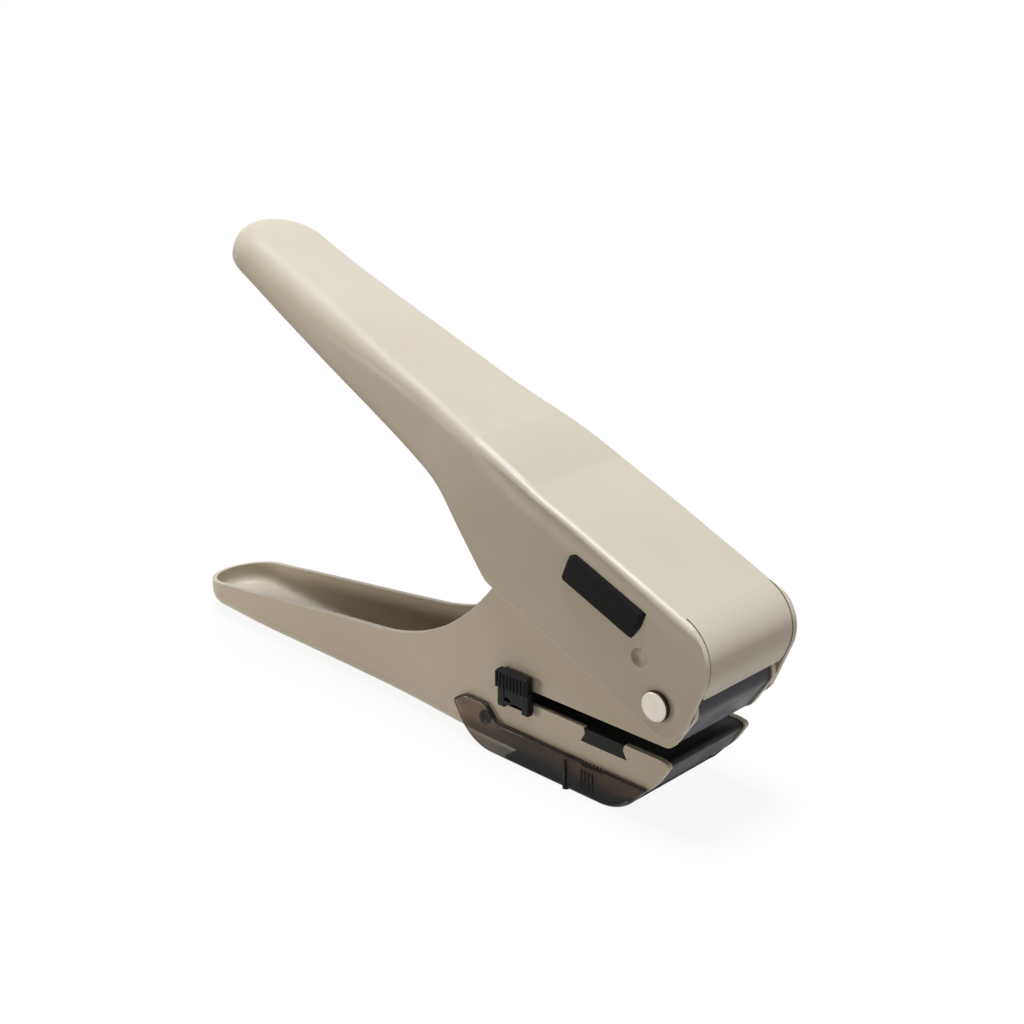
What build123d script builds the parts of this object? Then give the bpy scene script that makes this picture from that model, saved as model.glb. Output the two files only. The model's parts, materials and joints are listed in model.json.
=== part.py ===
from build123d import *
from math import cos, pi, radians, sin, sqrt
import os

# One-hole card punch. Millimetres, +X out of the throat, +Z up, origin on the table under the chip tray.
# The pivot pin runs along Y. The pressed handles nest: the upper one's cheeks are outside the lower one's.

# Pivot and punch
PIVOT_X = 30.3
PIVOT_HEIGHT = 28.2
PUNCH_REACH = 14.8

# Upper handle
HANDLE_TILT = 22.0
UPPER_WIDTH = 29.8
UPPER_SHEET = 1.15
UPPER_GRIP = 146.4
UPPER_RISE = 21.1
FOLD_RADIUS = 1.6
TAIL_CORNER = 6.0
PIVOT_EDGE = 6.0
NOSE_REACH = 7.55
NOSE_ROUND = 10.0
NOSE_DROP = 1.1
TOP_BEND = 32.0
TOP_ROUND = 250.0
SHOULDER = 38.0
HEEL_REACH = 49.0
HEEL_ROUND = 5.5
WAIST_ROUND = 22.0
FLAP_WIDTH = 26.6
FLAP_DEPTH = 13.2
FLAP_SETBACK = 0.1
FLAP_LAP = 1.0
FLAP_CORNER = 1.4
DIMPLE_BACK = 4.9
DIMPLE_RISE = 8.7
DIMPLE_WIDTH = 4.4
DIMPLE_DEPTH = 0.6

# Distance along the grip from the pivot, half width, corner radius and height of the top sheet, as shares
UPPER_STATION_SHARES = (
    (0.3279, 0.9987, 0.023, 1.0095), (0.3962, 0.9973, 0.091, 1.0123), (0.4508, 0.9799, 0.193, 1.0024),
    (0.4986, 0.943, 0.273, 0.9943), (0.5464, 0.906, 0.295, 0.9891), (0.6011, 0.8913, 0.318, 0.9848),
    (0.6557, 0.8859, 0.432, 0.9839), (0.7104, 0.8859, 0.625, 0.9858), (0.7787, 0.8826, 0.841, 0.9882),
    (0.8607, 0.8691, 0.977, 0.9905), (0.9358, 0.849, 1, 0.9938), (1, 0.8322, 0.886, 0.9991),
)
# Lower edge of the flange behind the heel: along the grip, and up from the pivot to the top sheet
WAIST_SHARES = ((0.474, 0.257), (1.0, 0.628))

# Lower frame
FRAME_SHEET = 1.2
SIDE_GAP = 0.35
FRAME_CORNER = 3.8
FRAME_FOOT = 1.3
LOWER_GRIP = 151.2
FRAME_SHOULDER = 48.3
FRAME_CROWN = 8.2
TAIL_RIM = 9.35
RIM_SLOPE = 6.6
RISER_SLOPE = 49.0
RISER_ROUND = 60.0
RISER_REACH = 64.0
HUMP_HEIGHT = 14.3
HUMP_FRONT = 31.8
HUMP_ROUND = 3.0
# Distance along the grip from the pivot, half width and height of the floor, as shares
LOWER_STATION_SHARES = (
    (0.3724, 0.985, 1.0), (0.4253, 0.94, 0.96), (0.465, 0.899, 0.92), (0.5311, 0.843, 0.885),
    (0.6104, 0.806, 0.846), (0.7163, 0.787, 0.83), (0.8287, 0.78, 0.885), (0.9279, 0.769, 1.04),
    (1.0, 0.765, 1.42),
)

# Throat and jaws
THROAT_DROP = 12.7
THROAT_HEIGHT = 3.3
THROAT_DEPTH = 43.3
THROAT_END_ROUND = 1.2
JAW_REACH = 2.8
JAW_DROOP = 0.55
JAW_NOSE_ROUND = 0.9
JAW_TOP_ROUND = 6.0
JAW_CHIN = 5.7
CHIN_ROUND = 22.0
LIP_REACH = 2.7
LIP_ROUND = 3.0
BROW_HEIGHT = 8.5
BROW_ROUND = 3.0
WINDOW_BACK = 39.3
WINDOW_MARGIN = 2.2

# Dovetail notch in the lower cheeks, centred under the punch
NOTCH_MOUTH = 12.1
NOTCH_NECK = 10.3
NOTCH_FLOOR = 12.7
NOTCH_DEPTH = 3.4
NOTCH_NECK_SHARE = 0.38

# Mouldings
FIT_GAP = 0.05
MOULDING_GAP = 0.1
NOSE_INSET = 0.45
GUIDE_LEDGE = 5.1
GUIDE_TOWER = 10.6
GUIDE_EAR = 17.3
GUIDE_EAR_LENGTH = 5.2
GUIDE_WALL = 1.8
GUIDE_ROUND = 0.8
GUIDE_RISE = 0.1
BOSS_GAP = 1.0
MARK_WIDTH = 2.4
MARK_HEIGHT = 1.2
MARK_OFFSET = 4.2
MARK_DEPTH = 2.2
INSERT_DROP = 0.2
INSERT_PLATE = 3.3
INSERT_WALL = 1.7
INSERT_DEPTH = 6.9
DIE_BOSS = 6.5
DIE_BOSS_HEIGHT = 1.9
CHUTE_RADIUS = 3.6

# Turned parts
PIN_RADIUS = 2.5
PIN_HEAD_RADIUS = 3.22
PIN_HEAD_HEIGHT = 1.1
PIN_HEAD_EDGE = 0.3
PIVOT_BUSH_RADIUS = 3.6
GUIDE_PIN_RADIUS = 1.4
GUIDE_PIN_RISE = 5.6
PUNCH_RADIUS = 2.75
TIP_REST = 0.3
CAP_HOLD = 4.0
PUNCH_BUSH_RADIUS = 3.65
PUNCH_BUSH_LENGTH = 9.4
DIE_RADIUS = 5.0
DIE_THICKNESS = 2.0
DIE_LAND = 1.2
DIE_RELIEF = 0.3

# Return spring and what it sits on
WIRE_RADIUS = 0.45
COIL_RADIUS = 4.45
COIL_TURNS = 5.5
COIL_QUARTER = 0.25
SEAT_THICKNESS = 0.6
SEAT_RADIUS = 5.1
SPRING_POCKET = 5.35
POCKET_FLOOR = 2.6
RING_THICKNESS = 0.7
RING_RADIUS = 3.7
RING_GROOVE = 0.35
SEAT_GAP = 0.05

# Cross bar and the cap under it
BAR_LENGTH = 21.0
BAR_HEIGHT = 7.1
BAR_START = 10.15
BAR_RISE = 8.7
BAR_PROUD = 0.9
BAR_CHAMFER = 1.3
BAR_SLANT = 1.0
BAR_EDGE = 0.6
WEAR_THICKNESS = 0.8
WEAR_LENGTH = 15.0
WEAR_WIDTH = 12.0
CAP_ROUND = 3.0
CAP_WIDTH = 8.0
CAP_NECK = 3.3
CAP_CONTACT_GAP = 0.35
FLANGE_RADIUS = 5.2
FLANGE_THICKNESS = 1.2

# Depth stop
STOP_CLEARANCE = 0.3
STOP_LENGTH = 6.8
STOP_BACK_GAP = 0.9
GRIP_LENGTH = 9.4
GRIP_TOP = 3.5
GRIP_SKIRT = 0.8
GRIP_THICKNESS = 2.8
GRIP_ROUND = 1.0
GRIP_RIBS = 8
RIB_GROOVE = 0.45
RIB_DEPTH = 0.4
SHOE_LENGTH = 9.2
SHOE_THICKNESS = 1.7
SHOE_DROP = 2.2
SHOE_ARCH = 0.9
SHOE_FOOT = 2.1
GRIP_PEG = 1.5
GRIP_WINDOW = 2.6

# Chip tray
TRAY_WALL = 0.85
TRAY_FLOOR = 0.9
TRAY_GAP = 0.3
TRAY_FLOOR_BACK = 42.3
TRAY_FLOOR_FRONT = 7.5
TRAY_CORNER = 0.8
HINGE_REACH = 48.5
HINGE_HEIGHT = 8.1
HINGE_PIP_RADIUS = 1.45
TRAY_CHIN_ROUND = 12.0
TRAY_RIM = 8.1
TRAY_EAR_ROUND = 2.7
TRAY_RIB_REACH = 24.7
TRAY_RIB_WIDTH = 0.7
TRAY_RIB_PROUD = 0.25
TRAY_NUB_RADIUS = 0.8
TRAY_NUB_HEIGHT = 0.9
FINE_RIBS = 4
FINE_RIB_PITCH = 1.02
FINE_RIB_WIDTH = 0.35
SERRATIONS = 6
SERRATION_PITCH = 1.0
SERRATION_DEPTH = 0.35
# Outline of the tray's walls: back from the pivot as shares of the hinge's reach, up as shares of the rim
TRAY_BACK_SHARES = ((1.09, 0.0), (1.212, 1.12), (1.134, 1.45), (0.992, 1.45), (0.918, 1.0))
TRAY_NOSE_SHARES = ((0.05, 0.985), (0.192, 0.0))

# How far cutting shapes run past what they cut
OVERRUN = 30.0
SPAN = 200.0

# Places worked out from the sizes above
UPPER_HALF = UPPER_WIDTH / 2
FRAME_HALF = UPPER_HALF - UPPER_SHEET - SIDE_GAP
FRAME_INSIDE = FRAME_HALF - FRAME_SHEET
MOULDING_HALF = FRAME_INSIDE - MOULDING_GAP
TRAY_HALF = FRAME_HALF + TRAY_GAP + TRAY_WALL
PUNCH_X = PIVOT_X - PUNCH_REACH
THROAT_FLOOR = PIVOT_HEIGHT - THROAT_DROP
THROAT_ROOF = THROAT_FLOOR + THROAT_HEIGHT
THROAT_BACK = PIVOT_X - THROAT_DEPTH
GUIDE_FLOOR = THROAT_ROOF - GUIDE_RISE
INSERT_TOP = THROAT_FLOOR - INSERT_DROP
INSERT_SKIRT = INSERT_TOP - INSERT_DEPTH
POCKET_Z = GUIDE_FLOOR + POCKET_FLOOR
LOWER_SEAT_TOP = POCKET_Z + SEAT_THICKNESS

HANDLE = Plane(
    origin=(PIVOT_X, 0, PIVOT_HEIGHT),
    x_dir=(-cos(radians(HANDLE_TILT)), 0, sin(radians(HANDLE_TILT))),
    z_dir=(0, 1, 0),
)
GRIP_SIDE = Plane(
    origin=(PIVOT_X, 0, PIVOT_HEIGHT),
    x_dir=(0, -1, 0),
    z_dir=(-cos(radians(HANDLE_TILT)), 0, sin(radians(HANDLE_TILT))),
)
SIDE = Plane(origin=(0, 0, 0), x_dir=(1, 0, 0), z_dir=(0, -1, 0))


def cap_centre_height():
    """Height of the cap's round top at rest, a contact gap under the tilted bar."""
    tilt = radians(HANDLE_TILT)
    bar_underside = PIVOT_HEIGHT + BAR_RISE / cos(tilt) + PUNCH_REACH * sin(tilt) / cos(tilt)
    return bar_underside - (CAP_ROUND + CAP_CONTACT_GAP) / cos(tilt)


CAP_CENTRE = cap_centre_height()
FLANGE_TOP = CAP_CENTRE - CAP_NECK
FLANGE_BOTTOM = FLANGE_TOP - FLANGE_THICKNESS
UPPER_SEAT_BOTTOM = FLANGE_BOTTOM - SEAT_GAP - SEAT_THICKNESS
PUNCH_TIP = GUIDE_FLOOR + TIP_REST


def outline(plane, corners):
    """Face on a plane from (x, y, rounding) corners."""
    points = [(x, y) for x, y, _ in corners]
    return plane * make_face(FilletPolyline(*points, radius=[r for _, _, r in corners], close=True))


def slab(plane, corners, half_width):
    """Outline made solid by the same width on both sides of its plane."""
    return extrude(outline(plane, corners), amount=half_width, both=True)


def rod(x, z, radius, half_length):
    """Round bar along Y, centred on the middle of the punch."""
    return Pos(x, 0, z) * Rot(90, 0, 0) * Cylinder(radius, half_length + half_length)


def stud(x, z, radius, start, end):
    """Round bar along Y between two places on one side."""
    middle = (start + end) / 2
    return Pos(x, middle, z) * Rot(90, 0, 0) * Cylinder(radius, abs(end - start))


def disc(radius, bottom, top, x=PUNCH_X):
    """Round bar along Z between two heights."""
    return Pos(x, 0, (bottom + top) / 2) * Cylinder(radius, top - bottom)


def block(x_low, x_high, y_low, y_high, z_low, z_high):
    """Plain box between two corners."""
    size = (x_high - x_low, y_high - y_low, z_high - z_low)
    return Pos((x_low + x_high) / 2, (y_low + y_high) / 2, (z_low + z_high) / 2) * Box(*size)


def both_sides(piece):
    """A piece with its mirror image across the middle."""
    return piece + mirror(piece, about=Plane.XZ)


def single(shape):
    """The one solid of a shape, after cuts that may leave it in a list."""
    return shape.solids().sort_by(SortBy.VOLUME)[-1]


def arch(half, low, high, corner):
    """Section of a pressed channel with its two top corners rounded; the foot stays square."""
    return [(-half, low, 0), (half, low, 0), (half, high, corner), (-half, high, corner)]


def upper_section(along, half, corner, top, wall):
    """Section across the upper grip; a wall insets it for the hollow."""
    place = GRIP_SIDE.offset(along)
    foot = -(PIVOT_EDGE + PIVOT_EDGE) - wall
    return outline(place, arch(half - wall, foot, top - wall, corner - wall))


def upper_grip(wall):
    """Grip of the upper handle from its shoulder to the rounded tail."""
    corner_gain = TAIL_CORNER - FOLD_RADIUS
    sections = [upper_section(SHOULDER, UPPER_HALF, FOLD_RADIUS, UPPER_RISE, wall)]
    for along, width, corner, top in UPPER_STATION_SHARES:
        radius = FOLD_RADIUS + corner_gain * corner
        sections.append(upper_section(along * UPPER_GRIP, width * UPPER_HALF, radius, top * UPPER_RISE, wall))
    grip = loft(sections)
    tail_half = UPPER_STATION_SHARES[-1][1] * UPPER_HALF
    tail = sections[-1] & (GRIP_SIDE.offset(UPPER_GRIP) * Pos(tail_half / 2, 0) * Rectangle(tail_half, SPAN))
    centre = HANDLE.from_local_coords((UPPER_GRIP, 0, 0))
    return grip + revolve(tail, axis=Axis(centre, -HANDLE.y_dir), revolution_arc=180)


def upper_front(wall):
    """Front of the upper handle as a tilted block with folded top edges; its top slopes down to the nose."""
    half = UPPER_HALF - wall
    foot = -(PIVOT_EDGE + PIVOT_EDGE) - wall
    nose = -NOSE_REACH - wall - wall
    corners = [
        (nose, foot, 0), (SHOULDER, foot, 0), (SHOULDER, UPPER_RISE - wall, 0),
        (TOP_BEND, UPPER_RISE - wall, TOP_ROUND), (nose, nose_top(nose) - wall, 0),
    ]
    solid = slab(HANDLE, corners, half)
    folds = [
        edge for edge in solid.edges()
        if abs(abs(edge.center().Y) - half) < SIDE_GAP and edge.length > PIVOT_EDGE / 2
        and HANDLE.to_local_coords(edge.center()).Y > UPPER_RISE / 2 and abs(edge.tangent_at(0.5).Y) < 0.5
        and abs(HANDLE.x_dir.dot(edge.tangent_at(0.5))) > 0.5
    ]
    return fillet(folds, FOLD_RADIUS - wall)


def nose_top(along):
    """Height of the top sheet ahead of its bend, where it slopes down to the nose."""
    return UPPER_RISE - NOSE_DROP * (TOP_BEND - along) / (TOP_BEND + NOSE_REACH)


def upper_side_outline():
    """Side view of the cheeks and flanges: round nose, straight lower edge, heel and rising waist."""
    waist = [(a * UPPER_GRIP, b * UPPER_RISE) for a, b in WAIST_SHARES]
    slope = (waist[1][1] - waist[0][1]) / (waist[1][0] - waist[0][0])
    far = UPPER_GRIP + OVERRUN
    ceiling = UPPER_RISE + OVERRUN
    bend = NOSE_ROUND - NOSE_REACH + FLAP_LAP
    return [
        (-NOSE_REACH, -PIVOT_EDGE, PIVOT_EDGE),
        (HEEL_REACH, -PIVOT_EDGE, HEEL_ROUND),
        (waist[0][0], waist[0][1], WAIST_ROUND),
        (far, waist[1][1] + slope * OVERRUN, 0),
        (far, ceiling, 0),
        (bend, ceiling, 0),
        (bend, nose_top(bend), 0),
        (-NOSE_REACH, nose_top(-NOSE_REACH), NOSE_ROUND),
    ]


def nose_flap():
    """Top sheet bent down over the nose between the cheeks, with rounded lower corners."""
    face = NOSE_REACH - FLAP_SETBACK
    start = NOSE_ROUND - NOSE_REACH + FLAP_LAP
    top = nose_top(-face)
    low = top - FLAP_DEPTH
    outside = [(start, nose_top(start), 0), (-face, top, NOSE_ROUND), (-face, low, 0)]
    inside = [
        (UPPER_SHEET - face, low, 0),
        (UPPER_SHEET - face, top - UPPER_SHEET, NOSE_ROUND - UPPER_SHEET),
        (start, nose_top(start) - UPPER_SHEET, 0),
    ]
    flap = slab(HANDLE, outside + inside, FLAP_WIDTH / 2)
    low_corners = [
        edge for edge in flap.edges()
        if abs(HANDLE.to_local_coords(edge.center()).Y - low) < FIT_GAP and abs(edge.tangent_at(0.5).Y) < 0.5
    ]
    return fillet(low_corners, FLAP_CORNER)


def bar_outline(gap):
    """Section of the cross bar in the handle's own directions, grown by a gap for its slot."""
    back = BAR_START + BAR_LENGTH + gap
    front = BAR_START - gap
    low = BAR_RISE - gap
    high = BAR_RISE + BAR_HEIGHT + gap
    middle = BAR_RISE + BAR_HEIGHT / 2
    return [
        (front + BAR_SLANT, low, 0), (back, low, 0), (back, high - BAR_CHAMFER, 0),
        (back - BAR_CHAMFER, high, 0), (front, high, 0), (front, middle, 0),
    ]


def upper_handle():
    """Pressed upper handle: channel with a rounded tail, cheeks, nose flap, bar slots, bores and dimples."""
    channel = (upper_front(0) + upper_grip(0)) - (upper_front(UPPER_SHEET) + upper_grip(UPPER_SHEET))
    channel = channel & slab(HANDLE, upper_side_outline(), UPPER_WIDTH)
    relief = NOSE_ROUND - NOSE_REACH
    inner_half = UPPER_HALF - UPPER_SHEET
    notch = [(relief, 0, 0), (-OVERRUN, 0, 0), (-OVERRUN, OVERRUN, 0), (relief, OVERRUN, 0)]
    channel = channel - slab(HANDLE, notch, inner_half)
    channel = channel + nose_flap()
    channel = channel - slab(HANDLE, bar_outline(FIT_GAP), UPPER_WIDTH)
    channel = channel - rod(PIVOT_X, PIVOT_HEIGHT, PIN_RADIUS + FIT_GAP, UPPER_WIDTH)
    ball = (DIMPLE_WIDTH * DIMPLE_WIDTH / 4 + DIMPLE_DEPTH * DIMPLE_DEPTH) / (DIMPLE_DEPTH + DIMPLE_DEPTH)
    centre = (PIVOT_X - DIMPLE_BACK, UPPER_HALF - DIMPLE_DEPTH + ball, PIVOT_HEIGHT + DIMPLE_RISE)
    return single(channel - both_sides(Pos(*centre) * Sphere(ball)))


def drive_bar():
    """Black cross bar through both cheeks, chamfered at its ends, with a bed for the wear plate."""
    bar = slab(HANDLE, bar_outline(0), UPPER_HALF + BAR_PROUD)
    bar = chamfer(bar.faces().sort_by(Axis.Y)[0].edges() + bar.faces().sort_by(Axis.Y)[-1].edges(), BAR_EDGE)
    return single(bar - wear_shape(FIT_GAP))


def wear_shape(gap):
    """Strip let into the underside of the bar above the cap; a gap grows it for its bed."""
    middle = BAR_START + BAR_LENGTH / 2
    half = WEAR_LENGTH / 2 + gap
    low = BAR_RISE - gap
    corners = [
        (middle - half, low, 0), (middle + half, low, 0),
        (middle + half, BAR_RISE + WEAR_THICKNESS, 0), (middle - half, BAR_RISE + WEAR_THICKNESS, 0),
    ]
    return slab(HANDLE, corners, WEAR_WIDTH / 2 + gap)


def lower_section(along, half, low, corner, wall):
    """Section across the lower grip, open upward; a wall insets it for the hollow."""
    place = Plane(origin=(PIVOT_X - along, 0, 0), x_dir=(0, 1, 0), z_dir=(1, 0, 0))
    ceiling = PIVOT_HEIGHT + HUMP_HEIGHT + OVERRUN
    reach = half - wall
    corners = [
        (-reach, low + wall, corner - wall), (reach, low + wall, corner - wall),
        (reach, ceiling, 0), (-reach, ceiling, 0),
    ]
    return outline(place, corners)


def lower_grip(wall):
    """Grip of the lower frame from its shoulder to the rounded tail."""
    sections = [lower_section(FRAME_SHOULDER, FRAME_HALF, FRAME_FOOT, FRAME_CORNER, wall)]
    for along, width, low in LOWER_STATION_SHARES:
        half = width * FRAME_HALF
        sections.append(lower_section(along * LOWER_GRIP, half, low * FRAME_FOOT, FRAME_CORNER, wall))
    grip = loft(sections)
    tail_half = LOWER_STATION_SHARES[-1][1] * FRAME_HALF
    centre = (PIVOT_X - LOWER_GRIP, 0, 0)
    half_plane = Plane(origin=centre, x_dir=(0, 1, 0), z_dir=(1, 0, 0)) * Pos(tail_half / 2, 0)
    tail = sections[-1] & (half_plane * Rectangle(tail_half, SPAN))
    return grip + revolve(tail, axis=Axis(centre, (0, 0, 1)), revolution_arc=180)


def lower_front(wall):
    """Front of the lower frame: a straight channel under the head."""
    start = PIVOT_X - FRAME_SHOULDER
    section = lower_section(FRAME_SHOULDER, FRAME_HALF, FRAME_FOOT, FRAME_CORNER, wall)
    return extrude(section, amount=PIVOT_X + OVERRUN - start, dir=(1, 0, 0))


def jaw_corners(inset):
    """Chin and nose of the lower jaw, from the foot up to the throat floor."""
    nose = PIVOT_X + JAW_REACH - inset
    return [
        (PIVOT_X - JAW_CHIN - inset, FRAME_FOOT, CHIN_ROUND),
        (nose, THROAT_FLOOR - JAW_DROOP, JAW_NOSE_ROUND),
    ]


def nose_corners(inset, floor):
    """Lip and brow of the upper jaw, up to the round crown about the pivot."""
    front = PIVOT_X + FRAME_CROWN - inset
    return [
        (PIVOT_X + LIP_REACH - inset, floor, LIP_ROUND),
        (front, floor + BROW_HEIGHT, BROW_ROUND),
        (front, PIVOT_HEIGHT + FRAME_CROWN - inset, FRAME_CROWN - inset),
    ]


def frame_side_outline():
    """Side view of the lower frame: grip rim, riser, hump, crown, nose, throat and jaw."""
    rise = sin(radians(RIM_SLOPE)) / cos(radians(RIM_SLOPE))
    corner_x = PIVOT_X - RISER_REACH
    tail_x = PIVOT_X - LOWER_GRIP - OVERRUN
    rim_at_corner = TAIL_RIM + (corner_x - (PIVOT_X - LOWER_GRIP)) * rise
    hump_top = PIVOT_HEIGHT + HUMP_HEIGHT
    crown = PIVOT_HEIGHT + FRAME_CROWN
    run = (hump_top - rim_at_corner) * cos(radians(RISER_SLOPE)) / sin(radians(RISER_SLOPE))
    hump_x = PIVOT_X - HUMP_FRONT
    return [
        (tail_x, -OVERRUN, 0),
        (PIVOT_X - JAW_CHIN - CHIN_ROUND, -OVERRUN, 0),
        (PIVOT_X - JAW_CHIN - CHIN_ROUND, FRAME_FOOT, 0),
        *jaw_corners(0),
        (PIVOT_X, THROAT_FLOOR, JAW_TOP_ROUND),
        (THROAT_BACK, THROAT_FLOOR, THROAT_END_ROUND),
        (THROAT_BACK, THROAT_ROOF, THROAT_END_ROUND),
        *nose_corners(0, THROAT_ROOF),
        (hump_x, crown, GUIDE_ROUND),
        (hump_x - HUMP_ROUND, hump_top, HUMP_ROUND),
        (corner_x + run, hump_top, HUMP_ROUND),
        (corner_x, rim_at_corner, RISER_ROUND),
        (tail_x, TAIL_RIM - OVERRUN * rise, 0),
    ]


def notch_corners(gap):
    """Dovetail notch under the punch; a gap shrinks it for the tab that fills it."""
    floor = THROAT_FLOOR - NOTCH_DEPTH + gap
    neck = THROAT_FLOOR - NOTCH_DEPTH * NOTCH_NECK_SHARE
    mouth = NOTCH_MOUTH / 2 - gap
    right = [
        (mouth, THROAT_FLOOR + NOTCH_DEPTH / 4, 0),
        (NOTCH_NECK / 2 - gap, neck, NOTCH_DEPTH / 4),
        (NOTCH_FLOOR / 2 - gap, floor, FIT_GAP),
    ]
    left = [(-x, z, r) for x, z, r in reversed(right)]
    return [(PUNCH_X + x, z, r) for x, z, r in right + left]


def guide_pin_place():
    """Centre of the cross pin in the rear ear of the guide."""
    return guide_ear_front() - GUIDE_EAR_LENGTH / 2, PIVOT_HEIGHT + GUIDE_PIN_RISE


def guide_ear_front():
    """Where the rear ear of the guide starts, behind the spring's pocket."""
    return PUNCH_X - SPRING_POCKET - GUIDE_WALL + FIT_GAP


def lower_frame():
    """Pressed lower frame: grip, cheeks, throat, notches, window in the floor, and bores."""
    frame = (lower_front(0) + lower_grip(0)) - (lower_front(FRAME_SHEET) + lower_grip(FRAME_SHEET))
    frame = frame & slab(SIDE, frame_side_outline(), UPPER_WIDTH)
    margin = FRAME_INSIDE - WINDOW_MARGIN
    window_x = PIVOT_X - WINDOW_BACK
    frame = frame - block(window_x, PIVOT_X + OVERRUN, -margin, margin, -OVERRUN, FRAME_FOOT + FRAME_CORNER)
    frame = frame - slab(SIDE, notch_corners(0), UPPER_WIDTH)
    frame = frame - rod(PIVOT_X, PIVOT_HEIGHT, PIN_RADIUS + FIT_GAP, UPPER_WIDTH)
    frame = frame - rod(*guide_pin_place(), GUIDE_PIN_RADIUS + FIT_GAP, UPPER_WIDTH)
    return single(frame - rod(PIVOT_X - HINGE_REACH, HINGE_HEIGHT, HINGE_PIP_RADIUS + FIT_GAP, UPPER_WIDTH))


def pivot_pin():
    """Rivet through both handles, with a flat bright head on each side."""
    seat = UPPER_HALF + FIT_GAP
    pin = rod(PIVOT_X, PIVOT_HEIGHT, PIN_RADIUS, seat + PIN_HEAD_HEIGHT / 2)
    head = stud(PIVOT_X, PIVOT_HEIGHT, PIN_HEAD_RADIUS, seat, seat + PIN_HEAD_HEIGHT)
    head = fillet(head.faces().sort_by(Axis.Y)[-1].edges(), PIN_HEAD_EDGE)
    return single(pin + both_sides(head))


def pivot_bush():
    """Spacer sleeve round the rivet, between the frame's cheeks."""
    sleeve = rod(PIVOT_X, PIVOT_HEIGHT, PIVOT_BUSH_RADIUS, MOULDING_HALF)
    return sleeve - rod(PIVOT_X, PIVOT_HEIGHT, PIN_RADIUS + FIT_GAP, UPPER_WIDTH)


def guide_pin():
    """Cross pin through the rear ear of the guide, flush with the frame's cheeks."""
    return rod(*guide_pin_place(), GUIDE_PIN_RADIUS, FRAME_HALF)


def punch_guide():
    """Moulding of the upper jaw: nose, pivot boss, spring tower, rear ear and a hollow ledge."""
    back = THROAT_BACK + BOSS_GAP
    tower = GUIDE_FLOOR + GUIDE_TOWER
    crown = PIVOT_HEIGHT + FRAME_CROWN - NOSE_INSET
    boss_back = PUNCH_X + SPRING_POCKET + BOSS_GAP
    ear_front = guide_ear_front()
    ear_back = ear_front - GUIDE_EAR_LENGTH
    ledge = GUIDE_FLOOR + GUIDE_LEDGE
    ear_top = GUIDE_FLOOR + GUIDE_EAR
    corners = [
        (back, GUIDE_FLOOR, 0), *nose_corners(NOSE_INSET, GUIDE_FLOOR),
        (boss_back, crown, GUIDE_ROUND), (boss_back, tower, 0), (ear_front, tower, 0),
        (ear_front, ear_top, GUIDE_ROUND), (ear_back, ear_top, GUIDE_ROUND),
        (ear_back, ledge, GUIDE_ROUND), (back, ledge, GUIDE_ROUND),
    ]
    guide = slab(SIDE, corners, MOULDING_HALF)
    pocket_half = MOULDING_HALF - GUIDE_WALL
    pocket_floor = GUIDE_FLOOR + GUIDE_WALL
    pocket = block(back + GUIDE_WALL, ear_back - GUIDE_WALL, GUIDE_WALL / 2, pocket_half, pocket_floor, tower)
    guide = guide - both_sides(pocket)
    guide = guide - disc(SPRING_POCKET, POCKET_Z, tower + OVERRUN)
    guide = guide - disc(PUNCH_BUSH_RADIUS + FIT_GAP / 2, GUIDE_FLOOR - OVERRUN, tower)
    guide = guide - rod(PIVOT_X, PIVOT_HEIGHT, PIVOT_BUSH_RADIUS + FIT_GAP / 2, UPPER_WIDTH)
    guide = guide - rod(*guide_pin_place(), GUIDE_PIN_RADIUS + FIT_GAP / 2, UPPER_WIDTH)
    mark_low = MARK_OFFSET - MARK_WIDTH / 2
    front = PIVOT_X + LIP_REACH
    mark = block(
        front - MARK_DEPTH, front + OVERRUN, mark_low, mark_low + MARK_WIDTH,
        GUIDE_FLOOR - MARK_HEIGHT, GUIDE_FLOOR + MARK_HEIGHT,
    )
    return single(guide - mark)


def punch_bush():
    """Steel sleeve in the guide; the cutter slides in it."""
    sleeve = disc(PUNCH_BUSH_RADIUS, GUIDE_FLOOR, GUIDE_FLOOR + PUNCH_BUSH_LENGTH)
    return sleeve - disc(PUNCH_RADIUS + FIT_GAP, 0, PIVOT_HEIGHT + OVERRUN)


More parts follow.
